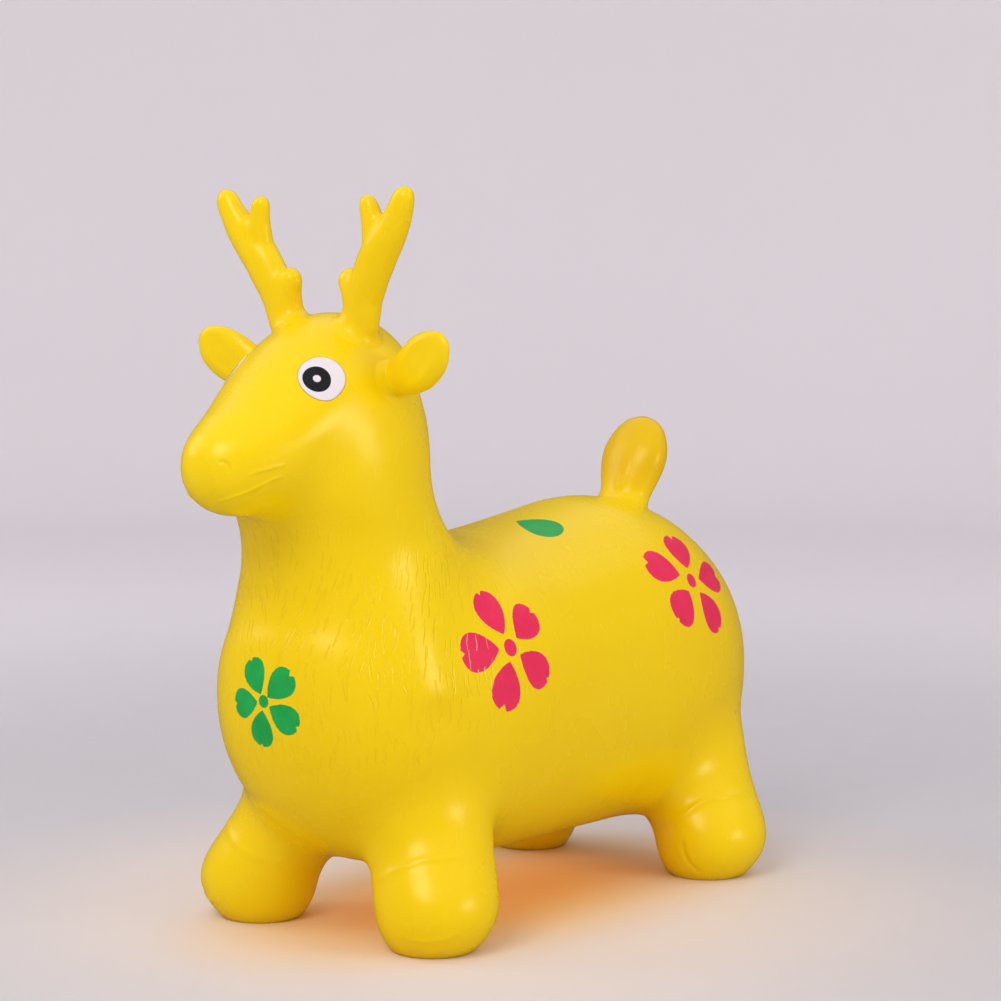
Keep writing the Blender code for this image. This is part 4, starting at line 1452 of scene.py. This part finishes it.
def yellow_material(groups, name, tint):
    """Soft PVC whose tint comes in above the root of a limb on the back; on the tail that tint is
    painted shade, a darker yellow.
    """
    made, tree, shader = new_material(name)
    place = rest_place(tree)
    finish = place_group(tree, groups["pvc"], {"Place": place})
    share = ramp(tree, axes(tree, place)[2], PAINTED_SHADE_START, PAINTED_SHADE_END)
    # Multiplies in the tint; on the tail this is painted shade
    colour = mixed(tree, share, finish["Colour"], tint, "MULTIPLY")
    wire(tree, shader, colour, finish["Roughness"], finish["Height"], PVC_BUMP)
    set_satin(shader)
    return made


def printed_material(groups):
    made, tree, shader = new_material("yellow_pvc_printed")
    place = rest_place(tree)
    apart = axes(tree, place)
    side = maths(tree, "ABSOLUTE", apart[0])
    mirrored = node(tree, "ShaderNodeCombineXYZ", {0: side, 1: apart[1], 2: apart[2]}).outputs[0]
    finish = place_group(tree, groups["pvc"], {"Place": place})
    stroke = place_group(tree, groups["fur"], {"Place": place})["Stroke"]
    flank = flower(tree, groups, mirrored, FLANK_MIDDLE, FLANK_OUTWARD, FLANK_PETALS)
    rump = flower(tree, groups, mirrored, RUMP_MIDDLE, RUMP_OUTWARD, RUMP_PETALS)
    chest = flower(tree, groups, place, CHEST_MIDDLE, CHEST_OUTWARD, CHEST_PETALS)
    pink = maths(tree, "MAXIMUM", flank, rump)
    green = maths(tree, "MAXIMUM", chest, leaf(tree, groups, place))
    inputs = {"Place": place, "Mask": pink, "Stroke": stroke}
    pink_paint = place_group(tree, groups["paint"], inputs)
    green_paint = place_group(tree, groups["paint"], {**inputs, "Mask": green, "Stroke": 0.0})
    worn = mixed(tree, times(tree, pink, PINK_STAIN_SHARE), finish["Colour"], PINK_STAIN)
    pink_colour = mixed(tree, pink_paint["Shade"], PINK, PINK_DEEP)
    green_colour = mixed(tree, green_paint["Shade"], GREEN, GREEN_DEEP)
    colour = mixed(tree, pink_paint["Cover"], worn, pink_colour)
    colour = mixed(tree, green_paint["Cover"], colour, green_colour)
    printed = maths(tree, "MAXIMUM", pink, green)
    rough = maths(tree, "MULTIPLY_ADD", printed, 0.08, finish["Roughness"])
    height = maths(tree, "MULTIPLY_ADD", stroke, FUR_BUMP, finish["Height"])
    height = maths(tree, "MULTIPLY_ADD", printed, PRINT_BUMP, height)
    wire(tree, shader, colour, rough, height, PVC_BUMP)
    set_satin(shader)
    return made


def paint_material(name, colour, deep, roughness):
    made, tree, shader = new_material(name)
    place = rest_place(tree)
    tone = mixed(tree, cloud(tree, place, 140.0, 3.0), colour, deep)
    rough = cloud(tree, place, 300.0, 2.0, (roughness - 0.04, roughness + 0.05))
    wire(tree, shader, tone, rough, grain(tree, place, 700.0, 2.0), PAINT_BUMP)
    shader.inputs["Specular IOR Level"].default_value = PAINT_SPECULAR
    return made


def darker(colour, share):
    return (colour[0] * share, colour[1] * share, colour[2] * share, 1.0)


# Studio


def studio_material():
    made, tree, shader = new_material("studio_paper")
    place = node(tree, "ShaderNodeTexCoord").outputs["Object"]
    reach = vector_maths(tree, "LENGTH", place)
    # Painted shade: the paper turns darker towards the toy, from the wall's tone 2 m out to the
    # floor's within 0.6 m
    tone = mixed(tree, ramp(tree, reach, 0.6, 2.0), STUDIO_FLOOR_PAINTED_SHADE, STUDIO_WALL)
    # Painted warm bounce light from the yellow toy on the floor within half a metre of it
    tone = mixed(tree, ramp(tree, reach, 0.50, 0.10), tone, STUDIO_PAINTED_BOUNCE)
    narrowed = vector_maths(tree, "MULTIPLY", place, STUDIO_SHADE_SHAPE)
    below = vector_maths(tree, "LENGTH", narrowed)
    tone = mixed(tree, ramp(tree, below, 0.32, 0.08, 0.0, 0.9), tone, STUDIO_SHADE)
    # Painted shade in reflections: the paper turns darker only where the toy's gloss reflects it,
    # as if a flag stood there
    mirror = node(tree, "ShaderNodeLightPath").outputs["Is Glossy Ray"]
    tone = mixed(tree, times(tree, mirror, STUDIO_REFLECTION_DARKENING), tone, BLACK)
    uneven = cloud(tree, place, 1.3, 3.0, (0.0, 0.02))
    tone = mixed(tree, uneven, tone, darker(STUDIO_FLOOR_PAINTED_SHADE, 0.8))
    rough = cloud(tree, place, 30.0, 2.0, (0.62, 0.70))
    wire(tree, shader, tone, rough, grain(tree, place, 350.0, 2.0), PAPER_BUMP, 0.6)
    return made


def studio():
    """A round paper backdrop that curves up from the floor."""
    outline = [(0.0001, 0), (1.0, 0), (2.0, 0), (STUDIO_HALF - STUDIO_COVE, 0)]
    for k in range(1, STUDIO_STEPS + 1):
        turn = math.pi / 2 * k / STUDIO_STEPS
        reach = STUDIO_HALF - STUDIO_COVE + STUDIO_COVE * math.sin(turn)
        outline.append((reach, STUDIO_COVE * (1 - math.cos(turn))))
    outline.append((STUDIO_HALF, STUDIO_HEIGHT))
    bm = bmesh.new()
    turned(bm, outline, Matrix.Identity(4))
    mesh = mesh_from(bm, "studio_floor")
    mesh.shade_smooth()
    mesh.materials.append(studio_material())
    floor = shown("studio_floor", mesh)


def lamp(name, turn, rise, distance, size, power, colour, aim=LAMP_AIM):
    """A soft square lamp. Its turn is 0 in front of the nose and 90 on the toy's left."""
    data = bpy.data.lights.new(name, "AREA")
    data.shape = "RECTANGLE"
    data.size = size[0]
    data.size_y = size[1]
    data.energy = power
    data.color = colour
    obj = shown(name, data)
    a = math.radians(turn)
    e = math.radians(rise)
    away = Vector((math.sin(a) * math.cos(e), -math.cos(a) * math.cos(e), math.sin(e)))
    obj.location = Vector(aim) + away * distance
    obj.rotation_euler = away.to_track_quat("Z", "Y").to_euler()
    return obj


def lights():
    for row in LAMPS:
        lamp(*row)
    glow = lamp(*GLOW_LAMP, GLOW_AIM)
    glow.visible_camera = False
    glow.visible_glossy = False
    world = bpy.data.worlds.new("studio_air")
    world.use_nodes = True
    air = world.node_tree.nodes["Background"]
    air.inputs["Color"].default_value = AIR_COLOUR
    air.inputs["Strength"].default_value = WORLD_STRENGTH
    bpy.context.scene.world = world
    bpy.context.scene.view_settings.view_transform = "Standard"


def camera():
    data = bpy.data.cameras.new("camera")
    data.sensor_width = CAMERA_SENSOR
    data.lens = CAMERA_LENS
    data.clip_end = CAMERA_FAR
    obj = shown("camera", data)
    obj.location = CAMERA_PLACE
    obj.rotation_euler = (math.radians(90 - CAMERA_DIP), 0, math.radians(CAMERA_TURN))
    bpy.context.scene.camera = obj


# The deer


def deer():
    groups = {
        "pvc": pvc_group(),
        "fur": fur_group(),
        "plane": plane_group(),
        "petal": petal_group(),
        "paint": paint_group(),
    }
    yellow = yellow_material(groups, "yellow_pvc_skin", NO_TINT)
    # The tail gets a darker copy of the yellow: painted shade
    shaded_yellow = yellow_material(groups, "yellow_pvc_tail_painted_shade", TAIL_PAINTED_SHADE)
    printed = printed_material(groups)
    eye_paints = {
        "white": paint_material("eye_white_paint", EYE_WHITE, darker(EYE_WHITE, 0.96), 0.42),
        "black": paint_material("eye_black_paint", EYE_BLACK, darker(EYE_BLACK, 1.5), 0.40),
        "line": paint_material("eye_line_paint", EYE_LINE, darker(EYE_LINE, 0.8), 0.45),
    }
    rubber = paint_material("valve_ivory_pvc", VALVE_IVORY, darker(VALVE_IVORY, 0.92), 0.42)

    skin = skin_form()
    tree = BVHTree.FromBMesh(skin)
    for word, side in (("left", 1), ("right", -1)):
        ear(word, side, tree, skin, yellow)
        antler(word, side, tree, skin, yellow)
        eye(word, side, tree, eye_paints)
    tail(tree, skin, shaded_yellow)
    valve(tree, rubber)

    emboss(skin, tree)
    flat_soles(skin)
    bmesh.ops.recalc_face_normals(skin, faces=skin.faces)
    piece = finished("deer_skin", skin, printed)
    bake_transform(piece)
    legs = ("front_left_leg", "front_right_leg", "rear_left_leg", "rear_right_leg")
    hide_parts("torso_skin", "neck_skin", "head_skin", *legs)


deer()
studio()
lights()
camera()
